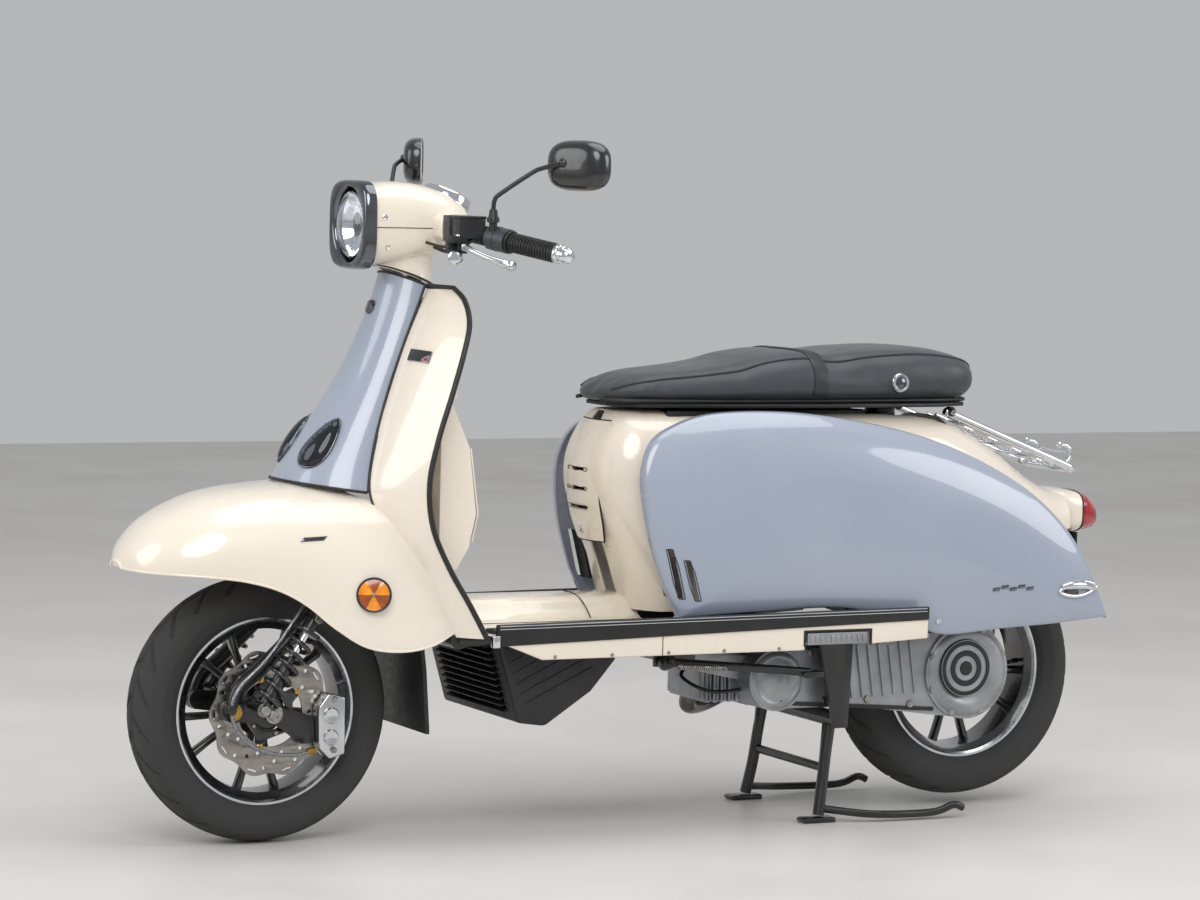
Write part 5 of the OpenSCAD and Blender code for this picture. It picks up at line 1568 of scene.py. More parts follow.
class SCOOTER_OT_controls(bpy.types.Operator):
    """The chromed bar with grips, bar ends, switch pods, reservoirs, levers, buttons and cables"""

    bl_idname = "scooter.controls"
    bl_label = "Bar and controls"

    def execute(self, context):
        way = BAR_DIR.normalized()
        bar = tube("bar", [(412, 0, 1066), (417, 62, 1066.5), tuple(BAR_ROOT), tuple(at_bar(246))], 11,
            "chrome_plate", 32)
        end = lathe("bar_end", [(0, 244), (15, 244), (16.5, 246), (16.5, 252), (15, 254), (13.6, 254.4),
            (13.6, 256), (15, 256.6), (15, 261),
                                (13, 262), (13, 263.6), (14.4, 264.2), (14, 270), (11, 275), (5, 277),
                                (0, 277)], BAR_ROOT, way, "chrome_plate", 56)
        both_bars = both(joined("handlebar_chrome", [bar, end]))
        sleeve = lathe("grip", [(11.1, 140), (15.4, 140), (15.4, 243.5), (11.1, 243.5)], BAR_ROOT, way,
            "grip_rubber", 56, True)
        flange = lathe("grip", [(11.1, 140), (19, 140), (20, 142), (19, 144.5), (11.1, 144.5)], BAR_ROOT,
            way, "grip_rubber", 56, True)
        rib = lathe("grip_rib", [(15, 148), (16.9, 148.6), (17.1, 150), (16.9, 151.4), (15, 152)],
            BAR_ROOT, way, "grip_rubber", 56, True)
        ribs = in_row(rib, 15, tuple(way * 6.2), "grip_rubber")
        left = joined("left_grip_rubber", [sleeve, flange, ribs])
        right = twin(left, "throttle_grip_rubber")
        carried(both_bars, "steering", "chrome", "handlebar")
        carried(left, "steering", "rubber", "left_grip")
        carried(right, "throttle", "rubber", "throttle_grip")

        pods = refined("switch_pods", "nylon_housing", 3.2, "pod_housings", segments=3)
        rocker = []
        for side in (1, -1):
            spot = at_bar(114, side)
            for lift, aft, finish, half in ((14, -19, "grained_black_abs", 6),
                (-6, -21, "red_moulding" if side > 0 else "grained_black_abs", 5)):
                low = (spot.x + aft - 3, spot.y - half, spot.z + lift - 3.4)
                rocker.append(block("rocker", low, (low[0] + 7, low[1] + 2 * half, low[2] + 6.8), finish,
                    1.6, 3))
            rocker.append(lathe("pod_joint", [(20.6, -0.7), (21.5, -0.7), (21.5, 0.7), (20.6, 0.7)], spot,
                (way.x, side * way.y, way.z), "trim_rubber", 56, True))
        pods = joined("pod_housings", [pods] + rocker)
        masters = refined("master_cylinders", "grained_black_abs", 2.6, "reservoirs", segments=3)
        caps = []
        for side in (1, -1):
            caps.append(block("cap", (390, side * 185 - 16, 1083), (442, side * 185 + 16, 1088),
                "grained_black_abs", 1.6, 3))
            for dx in (398, 434):
                caps.append(lathe("cap_screw", [(0, 2.4), (2.4, 2.4), (3.2, 1.2), (3.2, -1), (0, -1)],
                    (dx, side * 185, 1087.6), UP, "zinc_steel", 20))
            caps.append(lathe("pivot_bolt", [(0, 2.2), (3, 2.2), (7, 1.6), (7.6, 0), (7.6, -3), (0, -3)],
                (436, side * 192, 1054.6), UP, "chrome_plate", 32))
        for side in (1, -1):
            caps.append(lathe("clamp_bolt", [(0, 9), (5, 9), (10.5, 7.4), (12, 5), (12, -6), (0, -6)],
                (446, side * 197, 1017), (0.72, side * 0.69, 0), "chrome_plate", 40))
        masters = joined("reservoirs", [masters] + caps)
        carried(pods, "steering", "black_plastic", "switch_pods")
        carried(masters, "steering", "black_plastic", "master_cylinders")

        line = smooth(LEVER, 10)
        radii = [7.2 - 2.2 * math.sin(math.pi * min(1, i / (len(line) * 0.8))) for i in range(len(line))]
        blade = tube("lever", line, radii, "polished_aluminium", 20)
        ball = [(9.2 * math.sin(math.pi * k / 14), -9.2 * math.cos(math.pi * k / 14)) for k in range(15)]
        knob = lathe("lever", ball, (390, 303, 1007), UP, "polished_aluminium", 32)
        root = slab("lever", circle(9, 24, (436, 192))[6:19] + circle(7, 24, (436, 215))[:7] + circle(7,
            24, (436, 215))[19:], 1031, 1040, "polished_aluminium", "z", 1.4)
        hole = slab("hole", circle(4.3, 24, (436, 192)), 1020, 1050, "polished_aluminium", "z", 0)
        left = joined("left_lever_blade", [cut(root, hole), blade, knob])
        right = twin(left, "right_lever_blade")
        carried(left, "left_lever", "chrome", "brake_lever_left")
        carried(right, "right_lever", "chrome", "brake_lever_right")
        horn = lathe("horn_cap", [(0, -2), (2, -1.8), (4.2, -0.4), (5, 1.4), (5, 13.5), (0, 13.5)],
            (342, 226, 1049), FORWARD, "grained_black_abs", 32)
        start = lathe("start_cap", [(0, -2), (2, -1.8), (4.2, -0.4), (5, 1.4), (5, 13.5), (0, 13.5)],
            (342, -226, 1049), FORWARD, "red_moulding", 32)
        carried(horn, "horn_switch", "black_plastic", "horn_button")
        carried(start, "starter_switch", "red_plastic", "start_button")

        runs = []
        for side in (1, -1):
            for a, b, c, r in (((398, 178, 1052), (430, 150, 1026), (440, 96, 1032), 3.4),
                ((408, 196, 1050), (440, 152, 1034), (452, 84, 1040), 2.6)):
                path = smooth([(x, side * y, z) for x, y, z in (a, b, c)], 12)
                runs.append(tube("cable", path, r, "trim_rubber", 12))
            boot = smooth([(426, side * 168, 1034), (424, side * 154, 1024), (420, side * 136, 1028)], 10)
            runs.append(tube("boot", boot, [7 + 1.2 * (i % 2) for i in range(len(boot))], "trim_rubber", 20))
        carried(joined("bar_cables", runs), "steering", "rubber")
        return {"FINISHED"}


class SCOOTER_OT_mirrors(bpy.types.Operator):
    """Both mirrors: bent black stems, dark shells and silvered glasses"""

    bl_idname = "scooter.mirrors"
    bl_label = "Mirrors"

    def execute(self, context):
        stem = tube("mirror", smooth([(388, 222, 1078), (388, 222, 1104), (387, 225, 1117),
            (382, 235, 1127), (352, 292, 1163), (340, 309, 1172),
            (318, 334, 1180)], 6), 4, "black_powder_coat", 20)
        foot = lathe("mirror", [(0, 0), (6.9, 0), (6.9, 16), (10, 16), (10, 24), (8, 27), (7, 36),
            (5.4, 39), (0, 39)], (388, 222, 1062), UP, "trim_rubber", 32)
        lock = lathe("mirror", [(0, 0), (11, 0), (11, 6), (0, 6)], (388, 222, 1080), UP,
            "black_powder_coat", 6, soft=10)
        turn, home = Matrix.Rotation(math.radians(26), 3, "Z"), Vector((292, 344, 1178))

        def ring(scale, x, power=2.9):
            return [home + turn @ Vector((x, y, z)) for y, z in squircle(62 * scale, 43 * scale, power, 72)]

        back = [(0.3, 17.4), (0.55, 16.4), (0.75, 14), (0.88, 9.6), (0.96, 3.5), (0.995, -3), (1, -9),
            (0.998, -14), (0.985, -16.4), (0.955, -16.6), (0.94, -15), (0.94, -12)]
        shell = skin("mirror", [ring(s, x) for s, x in back], "rim_enamel", (True, True))
        glass = skin("mirror", [ring(0.935, -14.6), ring(0.93, -15.4), ring(0.5, -15.8), ring(0.06, -16)],
            "silvered_glass", (True, True))
        ball = lathe("mirror", [(9 * math.sin(math.pi * k / 12),
            -9 * math.cos(math.pi * k / 12)) for k in range(13)], tuple(home + turn @ Vector((14, -16,
            4))), UP, "black_powder_coat", 24)
        left = joined("left_mirror_made", [stem, foot, lock, shell, glass, ball])
        right = twin(left, "right_mirror_made")
        carried(left, "left_mirror", "black_plastic", "mirror_left")
        carried(right, "right_mirror", "black_plastic", "mirror_right")
        return {"FINISHED"}


def coil_over(name, foot, lean, top, coil_radius, wire, low, high, turns, collar, barrel):
    """A coil spring round its damper, standing on foot and leaning by an angle about Y."""
    axis = Vector((math.sin(math.radians(lean)), 0, math.cos(math.radians(lean))))
    across = axis.cross(SIDE).normalized()
    foot = Vector(foot)
    path = []
    steps = turns * 28
    for i in range(steps + 1):
        t = i / steps
        a = math.tau * turns * t
        path.append(foot + axis * (low + wire + (high - low - 2 * wire) * t) + coil_radius * (math.cos(a)
            * across + math.sin(a) * SIDE))
    parts = [tube(name, path, wire, "rim_enamel", 14)]
    parts.append(lathe(name, [(0, low - 3), (barrel, low - 3), (barrel, high * 0.62),
        (barrel * 0.55, high * 0.62), (barrel * 0.55, top), (0, top)], foot, axis, "black_powder_coat", 36))
    parts.append(lathe(name, [(0, high + 1), (collar, high + 1), (collar + 1, high + 3),
        (collar, high + 8), (barrel, high + 9), (barrel, top),
        (0, top)], foot, axis, "black_powder_coat", 48))
    parts.append(lathe(name, [(0, low - 4), (collar - 3, low - 4), (collar - 2, low - 1), (0, low - 0.5)],
        foot, axis, "black_powder_coat", 48))
    parts.append(lathe(name, [(barrel * 0.56, high * 0.7), (barrel * 0.62, high * 0.7),
        (barrel * 0.62, top - 2), (barrel * 0.56, top - 2)], foot, axis, "chrome_plate", 32, True))
    return joined(name, parts)


class SCOOTER_OT_front_end(bpy.types.Operator):
    """The fork legs, trailing link, caliper, braided hose and front shock absorbers"""

    bl_idname = "scooter.front_end"
    bl_label = "Fork and link"

    def execute(self, context):
        leg = tube("fork", smooth(FORK_LEG, 10), 13, "black_powder_coat", 28)
        eye = lathe("fork", [(8.1, 80), (17, 80), (18, 81.4), (18, 102.6), (17, 104), (8.1, 104)],
            (796, 0, 238), SIDE, "black_powder_coat", 48, True)
        stay = lathe("fork", [(0, 92), (8, 92), (8, 146), (7, 148), (0, 148)], (663, 0, 400), SIDE,
            "black_powder_coat", 32)
        nut = lathe("fork_nut", [(0, 145), (9.5, 145), (9.5, 151), (8.4, 152), (0, 152)], (663, 0, 400),
            SIDE, "zinc_steel", 6, soft=12)
        legs = both(joined("fork_legs", [leg, eye, stay, nut]))
        cross = tube("fork_legs", [(596, -88, 560), (596, 88, 560)], 17, "black_powder_coat", 36)
        fork_cad = refined("fork", "black_powder_coat", 0, "fork_cad")
        keep_above(fork_cad, 568)
        legs = joined("fork_made", [legs, cross, fork_cad])
        carried(legs, "steering", "frame_black", "fork")

        arm = refined("front_link", "black_powder_coat", 1.6, "link_arm", segments=3)
        bolts = []
        for centre, radius, out, finish in (((796, 0, 238), 10.5, 109, "zinc_gold"),
            ((716, 0, 229.5), 13, 88, "zinc_steel"), ((758, 0, 246), 9, 148, "zinc_steel")):
            nut = lathe("link_bolt", [(0, out - 5), (radius, out - 5), (radius, out + 2.6),
                (radius - 1.2, out + 4), (radius * 0.5, out + 4), (radius * 0.45, out + 3),
                (0, out + 3)], centre, SIDE, finish, 6, soft=12)
            washer = lathe("link_bolt", [(0, out - 7), (radius + 3, out - 7), (radius + 3, out - 4.6),
                (0, out - 4.6)], centre, SIDE, finish, 40)
            bolts.append(both(joined("link_bolt", [nut, washer])))
        carried(joined("link_arm", [arm] + bolts), "link", "frame_black", "front_link")
        clamp = refined("brake_caliper", "polished_aluminium", 3.4, "caliper_body", segments=4)
        parts = [clamp]
        for z in (188, 226):
            parts.append(lathe("caliper", [(0, 101.5), (6, 101.5), (8, 102.6), (12, 102.6), (14, 100.5),
                (14, 96), (0, 96)], (617, 0, z), SIDE, "polished_aluminium", 36))
        for x, z in ((612, 254), (612, 166)):
            parts.append(lathe("caliper", [(0, 104), (4, 104), (5.6, 102.6), (5.6, 97), (0, 97)],
                (x, 0, z), SIDE, "zinc_steel", 6, soft=12))
        carried(joined("caliper_body", parts), "link", "cast_alloy", "brake_caliper")

        hose = tube("hose", smooth(HOSE, 10), 3.6, "braided_hose", 20)
        ends = [lathe("hose_end", [(0, -2), (6, -2), (6, 10), (5, 16), (0, 16)], (650, 106, 168),
            (0.9, 0.1, -0.1), "zinc_gold", 6, soft=12)]
        clip = slab("hose_clip", circle(9, 24, (806, 244)), 103, 118, "black_powder_coat", "y", 1.4)
        hose = joined("hose_run", [hose, clip] + ends)
        carried(hose, "steering", "black_plastic", "brake_hose")
        spring = both(coil_over("front_shock", (758, 130, 246), -31.7, 176, 20, 4.2, 12, 148, 6, 24, 11))
        carried(spring, "steering", "black_plastic", "front_spring")
        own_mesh(spring)
        return {"FINISHED"}


def keep_above(obj, height):
    """Leaves only what stands over a height in millimetres."""
    bm = bmesh.new()
    bm.from_mesh(obj.data)
    bmesh.ops.bisect_plane(bm, geom=bm.verts[:] + bm.edges[:] + bm.faces[:], plane_co=(0, 0, height * MM),
        plane_no=(0, 0, 1), clear_inner=True)
    bmesh.ops.holes_fill(bm, edges=[e for e in bm.edges if e.is_boundary], sides=0)
    bm.to_mesh(obj.data)
    bm.free()
    return shade(obj)


def tyre(name, axle, radius, width):
    """A road tyre with its bead, sidewall rings and slanted grooves sunk in the tread."""
    axle, depth = Vector(axle), sizes().groove / MM
    wall = radius - RIM_RADIUS
    half = smooth([
        (RIM_RADIUS - 4, width * 0.36), (RIM_RADIUS + 4, width * 0.425), (RIM_RADIUS + 12, width * 0.46),
        (RIM_RADIUS + wall * 0.45, width * 0.5),
        (radius - wall * 0.24, width * 0.455), (radius - wall * 0.09, width * 0.33),
        (radius - 1.2, width * 0.16), (radius, 0),
    ], 6)
    section = half + [(r, -y) for r, y in reversed(half[:-1])]
    section += [(radius - 12, -width * 0.28), (radius - 9, 0), (radius - 12, width * 0.28)]
    turns, tread = 720, len(half) * 2 - 1
    points = []
    for i in range(turns):
        a = math.tau * i / turns
        for j, (r, y) in enumerate(section):
            sink = 0
            if j < tread and r > radius - wall * 0.36:
                share = abs(y) / (width * 0.5)
                phase = (a * 22 / math.tau + (0.5 if y < 0 else 0) + 0.9 * share**1.3) % 1
                if 0.12 < share < 0.86 and min(phase, 1 - phase) < 0.075:
                    sink = depth
                if 0.05 < share < 0.105:
                    sink = depth * 0.8
            ring = 0.9 if j < tread and 0.36 * wall < r - RIM_RADIUS < 0.44 * wall else 0
            out = r - sink
            points.append((axle.x + out * math.cos(a), y * (1 + 0.012 * ring), axle.z + out * math.sin(a)))
    count = len(section)
    faces = [
        (i * count + j, i * count + (j + 1) % count, (i + 1) % turns * count + (j + 1) % count,
        (i + 1) % turns * count + j)
        for i in range(turns) for j in range(count)
    ]
    obj = outward(mesh_piece(name, points, faces, "tyre_rubber"))
    return shade(obj, 34)


def wheel(name, axle, width, hub, bore):
    """A dark rim with bright lips, five pairs of spokes and its valve."""
    axle = Vector(axle)
    w = width * 0.36
    band = [(162, w), (163.5, w - 2), (163.5, w - 6), (148, w - 13), (146.5, 14 - w), (162, 6 - w),
        (162, -w), (159.5, -w - 1), (156, -w + 3), (142, 10 - w), (139.5, 0), (142, w - 10), (156, w - 3),
        (159.5, w + 1)]
    parts = [lathe(name, band, axle, SIDE, "rim_enamel", 144, True)]
    for side in (1, -1):
        lip = [(163.6, side * (w + 0.6)), (162.6, side * (w + 2.2)), (158.6, side * (w + 2.0)),
            (154.5, side * (w - 2.4)), (155.5, side * (w - 3.6)), (160, side * (w - 1))]
        parts.append(lathe(name, lip, axle, SIDE, "turned_aluminium", 144, True))
        parts.append(lathe(name, [(bore, side * hub), (27, side * hub), (30, side * (hub - 3)),
            (30, side * 16), (46, side * 10), (46, 0), (bore, 0)], axle, SIDE, "rim_enamel", 72, True))
        parts.append(lathe(name, [(bore, side * (hub + 0.6)), (bore + 6, side * (hub + 0.6)),
            (bore + 7, side * (hub - 1)), (bore, side * (hub - 1))], axle, SIDE, "zinc_steel", 48, True))
    for lean in (-1, 1):
        line = [(36, lean * 10), (66, lean * 14.5), (104, lean * 24), (144, lean * 37)]
        rings = []
        for k, (out, drift) in enumerate(smooth(line, 5)):
            thick = 7.5 - 1.6 * math.sin(math.pi * min(1, k / 15))
            rings.append([
                axle + Vector((out, 0, drift)) + Vector((-lean * 0.3 * u, v, u)) for u,
                v in squircle(thick, 11, 2.6, 20)
            ])
        spoke = skin(name, rings, "rim_enamel")
        parts.append(round_axle(spoke, 5, axle, "rim_enamel", 18))
    valve = lathe(name, [(0, 0), (4.5, 0), (4.5, 8), (3, 10), (3, 26), (4, 27), (4, 33), (3, 34), (0, 34)],
        axle + Vector((-142, 0, 8)), (0.78, 0.62, 0), "trim_rubber", 20)
    return joined(name, parts + [valve])


class SCOOTER_OT_wheels(bpy.types.Operator):
    """Both wheels with grooved tyres, bright rim lips, spokes and the wave brake disc"""

    bl_idname = "scooter.wheels"
    bl_label = "Wheels and disc"

    def execute(self, context):
        carried(tyre("front_tread", FRONT_AXLE, 229.5, 110), "front_wheel", "tyre_rubber", "front_tyre")
        carried(tyre("rear_tread", REAR_AXLE, 236.4, 120), "rear_wheel", "tyre_rubber", "rear_tyre")
        carried(wheel("front_wheel_made", FRONT_AXLE, 110, 55, 8.1), "front_wheel", "alloy_black",
            "front_rim")
        carried(wheel("rear_wheel_made", REAR_AXLE, 120, 52, 9.1), "rear_wheel", "alloy_black", "rear_rim")
        wave = [((108 + 4 * math.cos(10 * math.tau * k / 240)) * math.cos(math.tau * k / 240),
            (108 + 4 * math.cos(10 * math.tau * k / 240)) * math.sin(math.tau * k / 240)) for k in range(240)]
        holes = [circle(58, 96)]
        for k in range(30):
            a = math.tau * k / 30
            reach = (72, 84, 95)[k % 3]
            holes.append(circle(3.6, 16, (reach * math.cos(a), reach * math.sin(a))))
        for k in range(10):
            a = math.tau * k / 10
            u, v = Vector((math.cos(a), math.sin(a))), Vector((-math.sin(a), math.cos(a)))
            holes.append([tuple(103 * u + s * 9 * v + t * 2.2 * u) for s,
                t in ((-1, -0.6), (0, -1), (1, -0.6), (1, 0.6), (0, 0.6), (-1, 0.6))])
        frame_matrix = basis((716, 64, 229.5), (1, 0, 0), (0, 0, 1))
        disc = plate("disc", [wave] + holes, 4, frame_matrix, "ground_steel", 0.4)
        arms = []
        for k in range(5):
            a = math.tau * k / 5
            u, v = Vector((math.cos(a), math.sin(a))), Vector((-math.sin(a), math.cos(a)))
            arms += [tuple(44 * u - 12 * v), tuple(62 * u - 8 * v), tuple(67 * u), tuple(62 * u + 8 * v),
                tuple(44 * u + 12 * v)]
        spider = plate("disc", [arms, circle(31, 48)], 5, basis((716, 59, 229.5), (1, 0, 0), (0, 0, 1)),
            "rim_enamel", 0.8)
        rivets = []
        for k in range(5):
            a = math.tau * k / 5
            rivets.append(lathe("rivet", [(0, 67.6), (3.4, 67.6), (5.4, 66.4), (5.4, 60), (0, 60)],
                (716 + 61 * math.cos(a), 0, 229.5 + 61 * math.sin(a)), SIDE, "zinc_gold", 24))
            b = a + math.tau / 10
            rivets.append(lathe("rivet", [(0, 65), (3.4, 65), (4.4, 63.6), (4.4, 58), (0, 58)],
                (716 + 37 * math.cos(b), 0, 229.5 + 37 * math.sin(b)), SIDE, "zinc_steel", 6, soft=12))
        carried(joined("front_disc", [disc, spider] + rivets), "front_wheel", "disc_steel", "brake_disc")
        return {"FINISHED"}


class SCOOTER_OT_engine(bpy.types.Operator):
    """The engine with its ribbed case, cooling fins and round cover, the silencer and rear shock absorbers"""

    bl_idname = "scooter.engine"
    bl_label = "Engine and exhaust"

    def execute(self, context):
        case = refined("engine_case", "cast_aluminium", 2.2, "engine_made", segments=3)
        extra = []
        cover = [(0, 150), (30, 150), (34, 147), (52, 147), (56, 150), (70, 150), (78, 147.5), (85, 141),
            (87, 134), (87, 118), (0, 118)]
        extra.append(lathe("belt_cover", cover, (-627, 0, 264), SIDE, "cast_aluminium", 96))
        cap = [(0, 158), (12, 158), (14, 155), (22, 155), (24, 158), (32, 158), (34, 155), (42, 155),
            (44, 158), (50, 157), (53, 153), (53, 146), (0, 146)]
        extra.append(lathe("belt_cap", cap, (-618, 0, 272), SIDE, "grained_black_abs", 72))
        front = [(0, 146), (22, 146), (26, 143), (40, 143), (44, 145.5), (52, 143), (56, 138), (56, 120),
            (0, 120)]
        extra.append(lathe("belt_cover", front, (-230, 0, 262), SIDE, "cast_aluminium", 80))
        bolt = [(0, 7), (3, 7), (3.4, 6), (6, 6), (7, 4.6), (7, 0), (0, 0)]
        for x, z in ((-226, 312), (-300, 318), (-380, 326), (-460, 334), (-540, 341), (-240, 214),
            (-330, 214), (-420, 212), (-510, 200)):
            extra.append(lathe("case_bolt", bolt, (x, 136, z + (-8 if z > 300 else 8)), SIDE, "zinc_steel",
                28))
        for k in range(8):
            a = math.tau * (k + 0.5) / 8
            extra.append(lathe("case_bolt", bolt, (-627 + 79 * math.cos(a), 141, 264 + 79 * math.sin(a)),
                SIDE, "zinc_steel", 24))
        rib = slat_bar("case_rib", (-330, 139.5, 318), (-344, 139.5, 222), (0, 1, 0), 5, 4)
        extra.append(in_row(rib, 9, (-22, 0, 0.8), "cast_aluminium"))
        lip = slat_bar("case_rib", (-206, 139, 312), (-560, 139, 342), (0, 1, 0), 4, 7)
        low = slat_bar("case_rib", (-250, 139, 219), (-560, 139, 197), (0, 1, 0), 4, 7)
        extra += [lip, low]
        fin = slat_bar("fin", (-206, 74, 219), (-206, 74, 322), (0, 1, 0), 5, 3)
        extra.append(in_row(fin, 13, (7.6, 0, 0), "cast_aluminium"))
        airbox = slab("airbox", [(-420, 330), (-590, 340), (-590, 412), (-430, 400)], 66, 106,
            "grained_black_abs", edge=5, segments=4)
        bars = in_row(slat_bar("airbox", (-440, 107, 345), (-446, 107, 396), (0, 1, 0), 3, 3), 8,
            (-18, 0, 0.6), "grained_black_abs")
        wire = tube("engine_hose", smooth([(-150, 66, 300), (-190, 96, 322), (-300, 102, 334),
            (-430, 92, 362)], 10), 7, "trim_rubber", 16)
        lead = tube("engine_hose", smooth([(-114, 20, 280), (-84, 52, 262), (-120, 96, 240),
            (-196, 100, 244)], 10), 3.4, "trim_rubber", 12)
        made = joined("engine_made", [case] + extra + [airbox, bars, wire, lead])
        carried(made, "engine", "cast_alloy", "engine_case")

        start, end = Vector((-420, -134, 262)), Vector((-830, -138, 300))
        axis = (end - start).normalized()
        body = lathe("silencer", [(0, -2), (15, -2), (26, 6), (40, 22), (44, 34), (44.6, 60), (44.6, 380),
            (43, 396), (36, 408), (24, 414), (14, 415), (14, 434), (10.5, 434), (10.5, 416),
            (0, 416)], start, axis, "browned_stainless", 80)
        bands = [lathe("silencer", [(44, d), (46, d), (46.4, d + 5), (46, d + 10), (44, d + 10)], start,
            axis, "black_powder_coat", 80, True) for d in (52, 370)]
        shield = []
        up = axis.cross(SIDE).normalized() * -1
        out = -SIDE
        for k in range(21):
            d = 84 + 262 * k / 20
            pinch = math.sin(math.pi * (k + 0.6) / 21.2) ** 0.3
            shield.append([start + axis * d + 49.5 * (math.cos(t) * out + math.sin(t) * up)
                for t in [math.radians(38 + (-1 + 2 * j / 16) * 52 * pinch) for j in range(17)]])
        shield = panel("silencer_shield", shield, 1.6, start + axis * 200, "black_powder_coat")
        pipe = tube("silencer", smooth([(-150, -40, 226), (-158, -64, 194), (-226, -118, 190),
            (-330, -134, 232), (-424, -134, 262)], 10), 15, "browned_stainless", 32)
        foot = slab("silencer", [(-470, 250), (-520, 250), (-520, 290), (-470, 290)], -100, -86,
            "black_powder_coat", edge=2)
        carried(joined("silencer_made", [body, shield, pipe, foot] + bands), "engine", "exhaust_steel",
            "muffler")

        shock = both(coil_over("rear_shock", (-690, 106, 368), 15, 236, 21, 5, 14, 208, 7, 26, 10))
        carried(shock, "engine", "black_plastic", "rear_spring")
        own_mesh(shock)
        return {"FINISHED"}


class SCOOTER_OT_stands(bpy.types.Operator):
    """The centre stand, the side stand, the footpegs and the frame behind them"""

    bl_idname = "scooter.stands"
    bl_label = "Stands, pegs and frame"

    def execute(self, context):
        tubes = [tube("stand", smooth([(-350, 128, 180), (-342, 130, 130), (-334, 133, 70),
            (-324, 140, 12)], 8), 10.5, "black_powder_coat", 24)]
        pad = slab("stand", [(-352, 0), (-290, 0), (-286, 6), (-292, 9), (-352, 9)], 124, 156,
            "black_powder_coat", edge=1.8)
        heel = tube("stand", smooth([(-330, 138, 24), (-420, 172, 14), (-540, 176, 12), (-586, 178, 24),
            (-606, 178, 18)], 8), 7, "black_powder_coat", 20)
        gusset = slab("stand", [(-352, 180), (-336, 178), (-330, 92), (-346, 92)], 122, 132,
            "black_powder_coat", edge=2)
        legs = both(joined("stand_legs", tubes + [pad, heel, gusset]))
        barrel = lathe("stand_legs", [(8.1, -158), (15, -158), (15, 158), (8.1, 158)], (-350, 0, 188),
            SIDE, "black_powder_coat", 40, True)
        brace = tube("stand_legs", [(-340, -130, 96), (-340, 130, 96)], 8, "black_powder_coat", 24)
        carried(joined("centre_stand_made", [legs, barrel, brace]), "main_stand", "frame_black",
            "centre_stand")

        rod = tube("prop", smooth([(6, 186, 307), (-40, 186, 303), (-180, 186, 290), (-270, 186, 281)], 8),
            8, "black_powder_coat", 24)
        foot = slab("prop", [(-296, 272), (-256, 272), (-252, 279), (-258, 284), (-294, 283)], 170, 202,
            "black_powder_coat", edge=2.4)
        way = Vector((0.0306, -0.94, -0.34)).normalized()
        boss = lathe("prop", [(5.1, -12), (12, -12), (13, -10.6), (13, 10.6), (12, 12), (5.1, 12)],
            (16, 186, 308), way, "black_powder_coat", 36, True)
        pull = []
        for i in range(22 * 16 + 1):
            t = i / (22 * 16)
            spot = Vector((0, 200, 301)).lerp(Vector((-96, 199, 296)), t)
            a = math.tau * 22 * t
            pull.append(spot + 4.2 * Vector((0, math.cos(a), math.sin(a))))
        spring = tube("prop", pull, 1.2, "zinc_steel", 8)
        carried(joined("side_stand_made", [rod, foot, boss, spring]), "prop_stand", "frame_black",
            "side_stand")

        (x0, _, _), (x1, _, _) = [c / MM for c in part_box("footpeg_left")]
        tread = block("peg", (x0 + 3, 226, 336), (x1 - 3, 239, 358), "cast_aluminium", 2.6, 4)
        hinge = tube("peg", [(x0 + 0.5, 232, 339), (x1 - 0.5, 232, 339)], 3, "zinc_steel", 16)
        grip = in_row(block("peg", (x0 + 10, 237.5, 341), (x0 + 15, 240.5, 353), "cast_aluminium", 1, 2),
            11, (10.6, 0, 0), "cast_aluminium")
        left = joined("left_peg_made", [tread, hinge, grip])
        right = twin(left, "right_peg_made")
        carried(left, "left_peg", "chrome", "footpeg_left")
        carried(right, "right_peg", "chrome", "footpeg_right")
        carried(refined("main_frame", "black_powder_coat", 0.8, "frame_tubes"), "chassis", "frame_black",
            "main_frame")
        carried(refined("steering_bearings", "zinc_steel", 0.6, "bearing_cups"), "chassis", "steel",
            "steering_bearings")
        return {"FINISHED"}


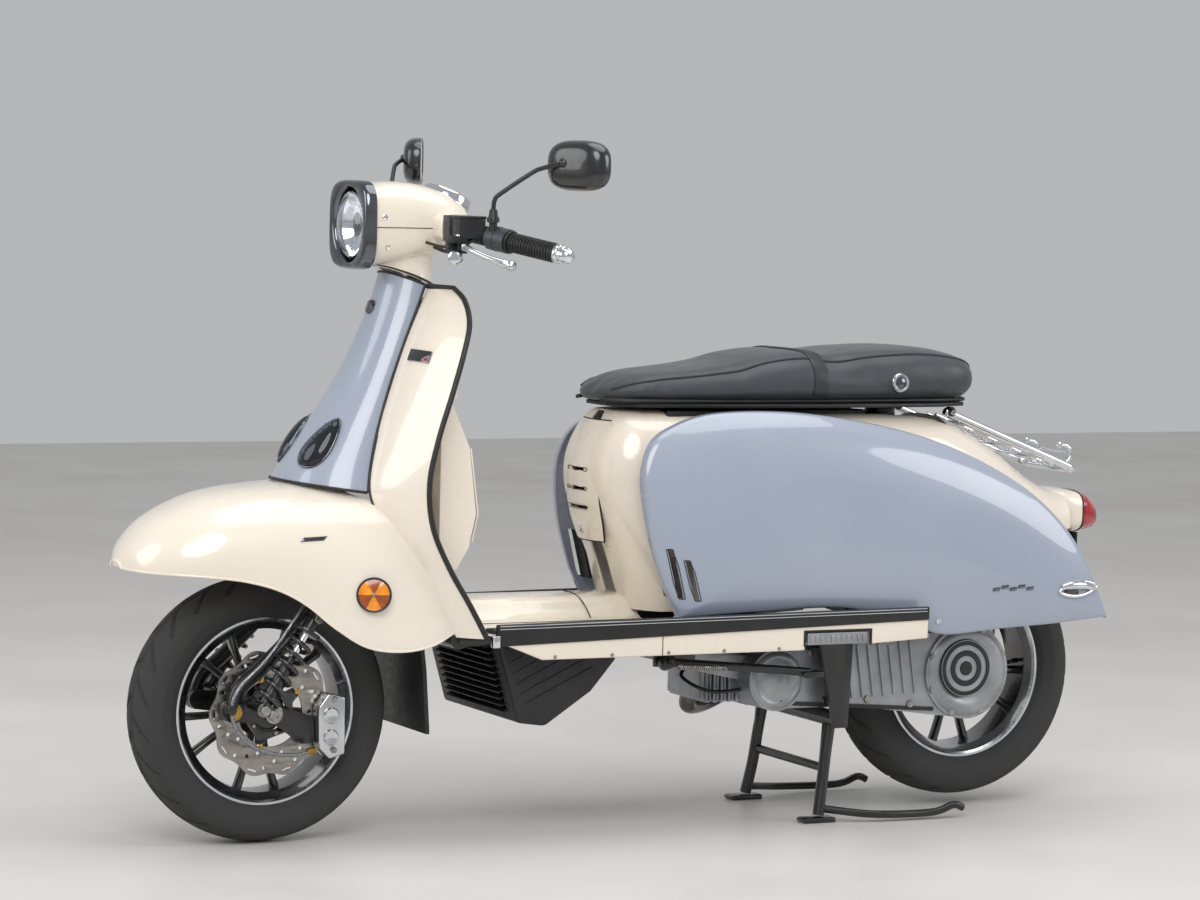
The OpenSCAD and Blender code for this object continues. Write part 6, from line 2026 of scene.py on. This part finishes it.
class SCOOTER_OT_stage(bpy.types.Operator):
    """A plain pale floor, soft studio lights and the camera"""

    bl_idname = "scooter.stage"
    bl_label = "Stage and camera"

    def execute(self, context):
        floor = block("studio_floor", (-9000, -9000, -20), (9000, 9000, -0.4), "pale_floor", 0)
        for name, place, aim, size, power in (
            ("key", (2.4, 3.6, 3.4), (0.1, 0, 0.6), 3.2, 118),
            ("fill", (4.2, -0.6, 2.2), (0.4, 0, 0.6), 2.6, 40),
            ("top", (-0.6, 0.4, 4.2), (0, 0, 0.5), 4.0, 84),
            ("rim", (-3.8, 2.6, 2.2), (-0.4, 0, 0.5), 2.4, 52),
        ):
            data = bpy.data.lights.new(name, "AREA")
            data.shape, data.size, data.energy = "DISK", size, power
            lamp = bpy.data.objects.new(name, data)
            lamp.location = place
            lamp.rotation_euler = (Vector(aim) - Vector(place)).to_track_quat("-Z", "Y").to_euler()
            context.scene.collection.objects.link(lamp)
        world = bpy.data.worlds.new("studio")
        world.use_nodes = True
        world.node_tree.nodes["Background"].inputs[0].default_value = (0.93, 0.94, 0.96, 1)
        world.node_tree.nodes["Background"].inputs[1].default_value = 0.5
        context.scene.world = world
        context.scene.view_settings.view_transform = "Standard"
        data = bpy.data.cameras.new("camera")
        data.lens, data.sensor_width = 122.66, 36
        camera = bpy.data.objects.new("camera", data)
        yaw, pitch, roll = math.radians(243.719), math.radians(4.12), math.radians(1.351)
        ahead = Vector((math.cos(pitch) * math.cos(yaw), math.cos(pitch) * math.sin(yaw), -math.sin(pitch)))
        right = ahead.cross(UP).normalized()
        up = right.cross(ahead)
        right, up = right * math.cos(roll) + up * math.sin(roll), up * math.cos(roll) - right * math.sin(roll)
        camera.matrix_world = Matrix((right, up, -ahead)).transposed().to_4x4()
        camera.location = (3.3001, 6.5499, 1.1962)
        context.scene.collection.objects.link(camera)
        context.scene.camera = camera
        return {"FINISHED"}


PIECES = (
    SCOOTER_OT_mudguard, SCOOTER_OT_horncast, SCOOTER_OT_legshields, SCOOTER_OT_reflectors,
    SCOOTER_OT_glovebox, SCOOTER_OT_floor,
    SCOOTER_OT_shroud, SCOOTER_OT_body, SCOOTER_OT_side_panels, SCOOTER_OT_rack, SCOOTER_OT_seat,
    SCOOTER_OT_headset,
    SCOOTER_OT_controls, SCOOTER_OT_mirrors, SCOOTER_OT_front_end, SCOOTER_OT_wheels, SCOOTER_OT_engine,
    SCOOTER_OT_stands,
    SCOOTER_OT_stage,
)


class SCOOTER_PT_build(bpy.types.Panel):
    """Lists the scooter's settings and the pieces in the order they are made"""

    bl_idname = "SCOOTER_PT_build"
    bl_label = "Moped scooter"
    bl_space_type = "VIEW_3D"
    bl_region_type = "UI"
    bl_category = "Scooter"

    def draw(self, context):
        column = self.layout.column()
        for group in (context.scene.scooter_colours, context.scene.scooter_sizes):
            for key in group.__annotations__:
                column.prop(group, key)
        for piece in PIECES:
            column.operator(piece.bl_idname)


CLASSES = (ScooterColours, ScooterSizes) + PIECES + (SCOOTER_PT_build,)


def register():
    for cls in CLASSES:
        bpy.utils.register_class(cls)
    bpy.types.Scene.scooter_colours = bpy.props.PointerProperty(type=ScooterColours)
    bpy.types.Scene.scooter_sizes = bpy.props.PointerProperty(type=ScooterSizes)


def unregister():
    del bpy.types.Scene.scooter_sizes
    del bpy.types.Scene.scooter_colours
    for cls in reversed(CLASSES):
        bpy.utils.unregister_class(cls)


def main():
    register()
    for piece in PIECES:
        group, name = piece.bl_idname.split(".")
        getattr(getattr(bpy.ops, group), name)()


if __name__ == "__main__":
    main()
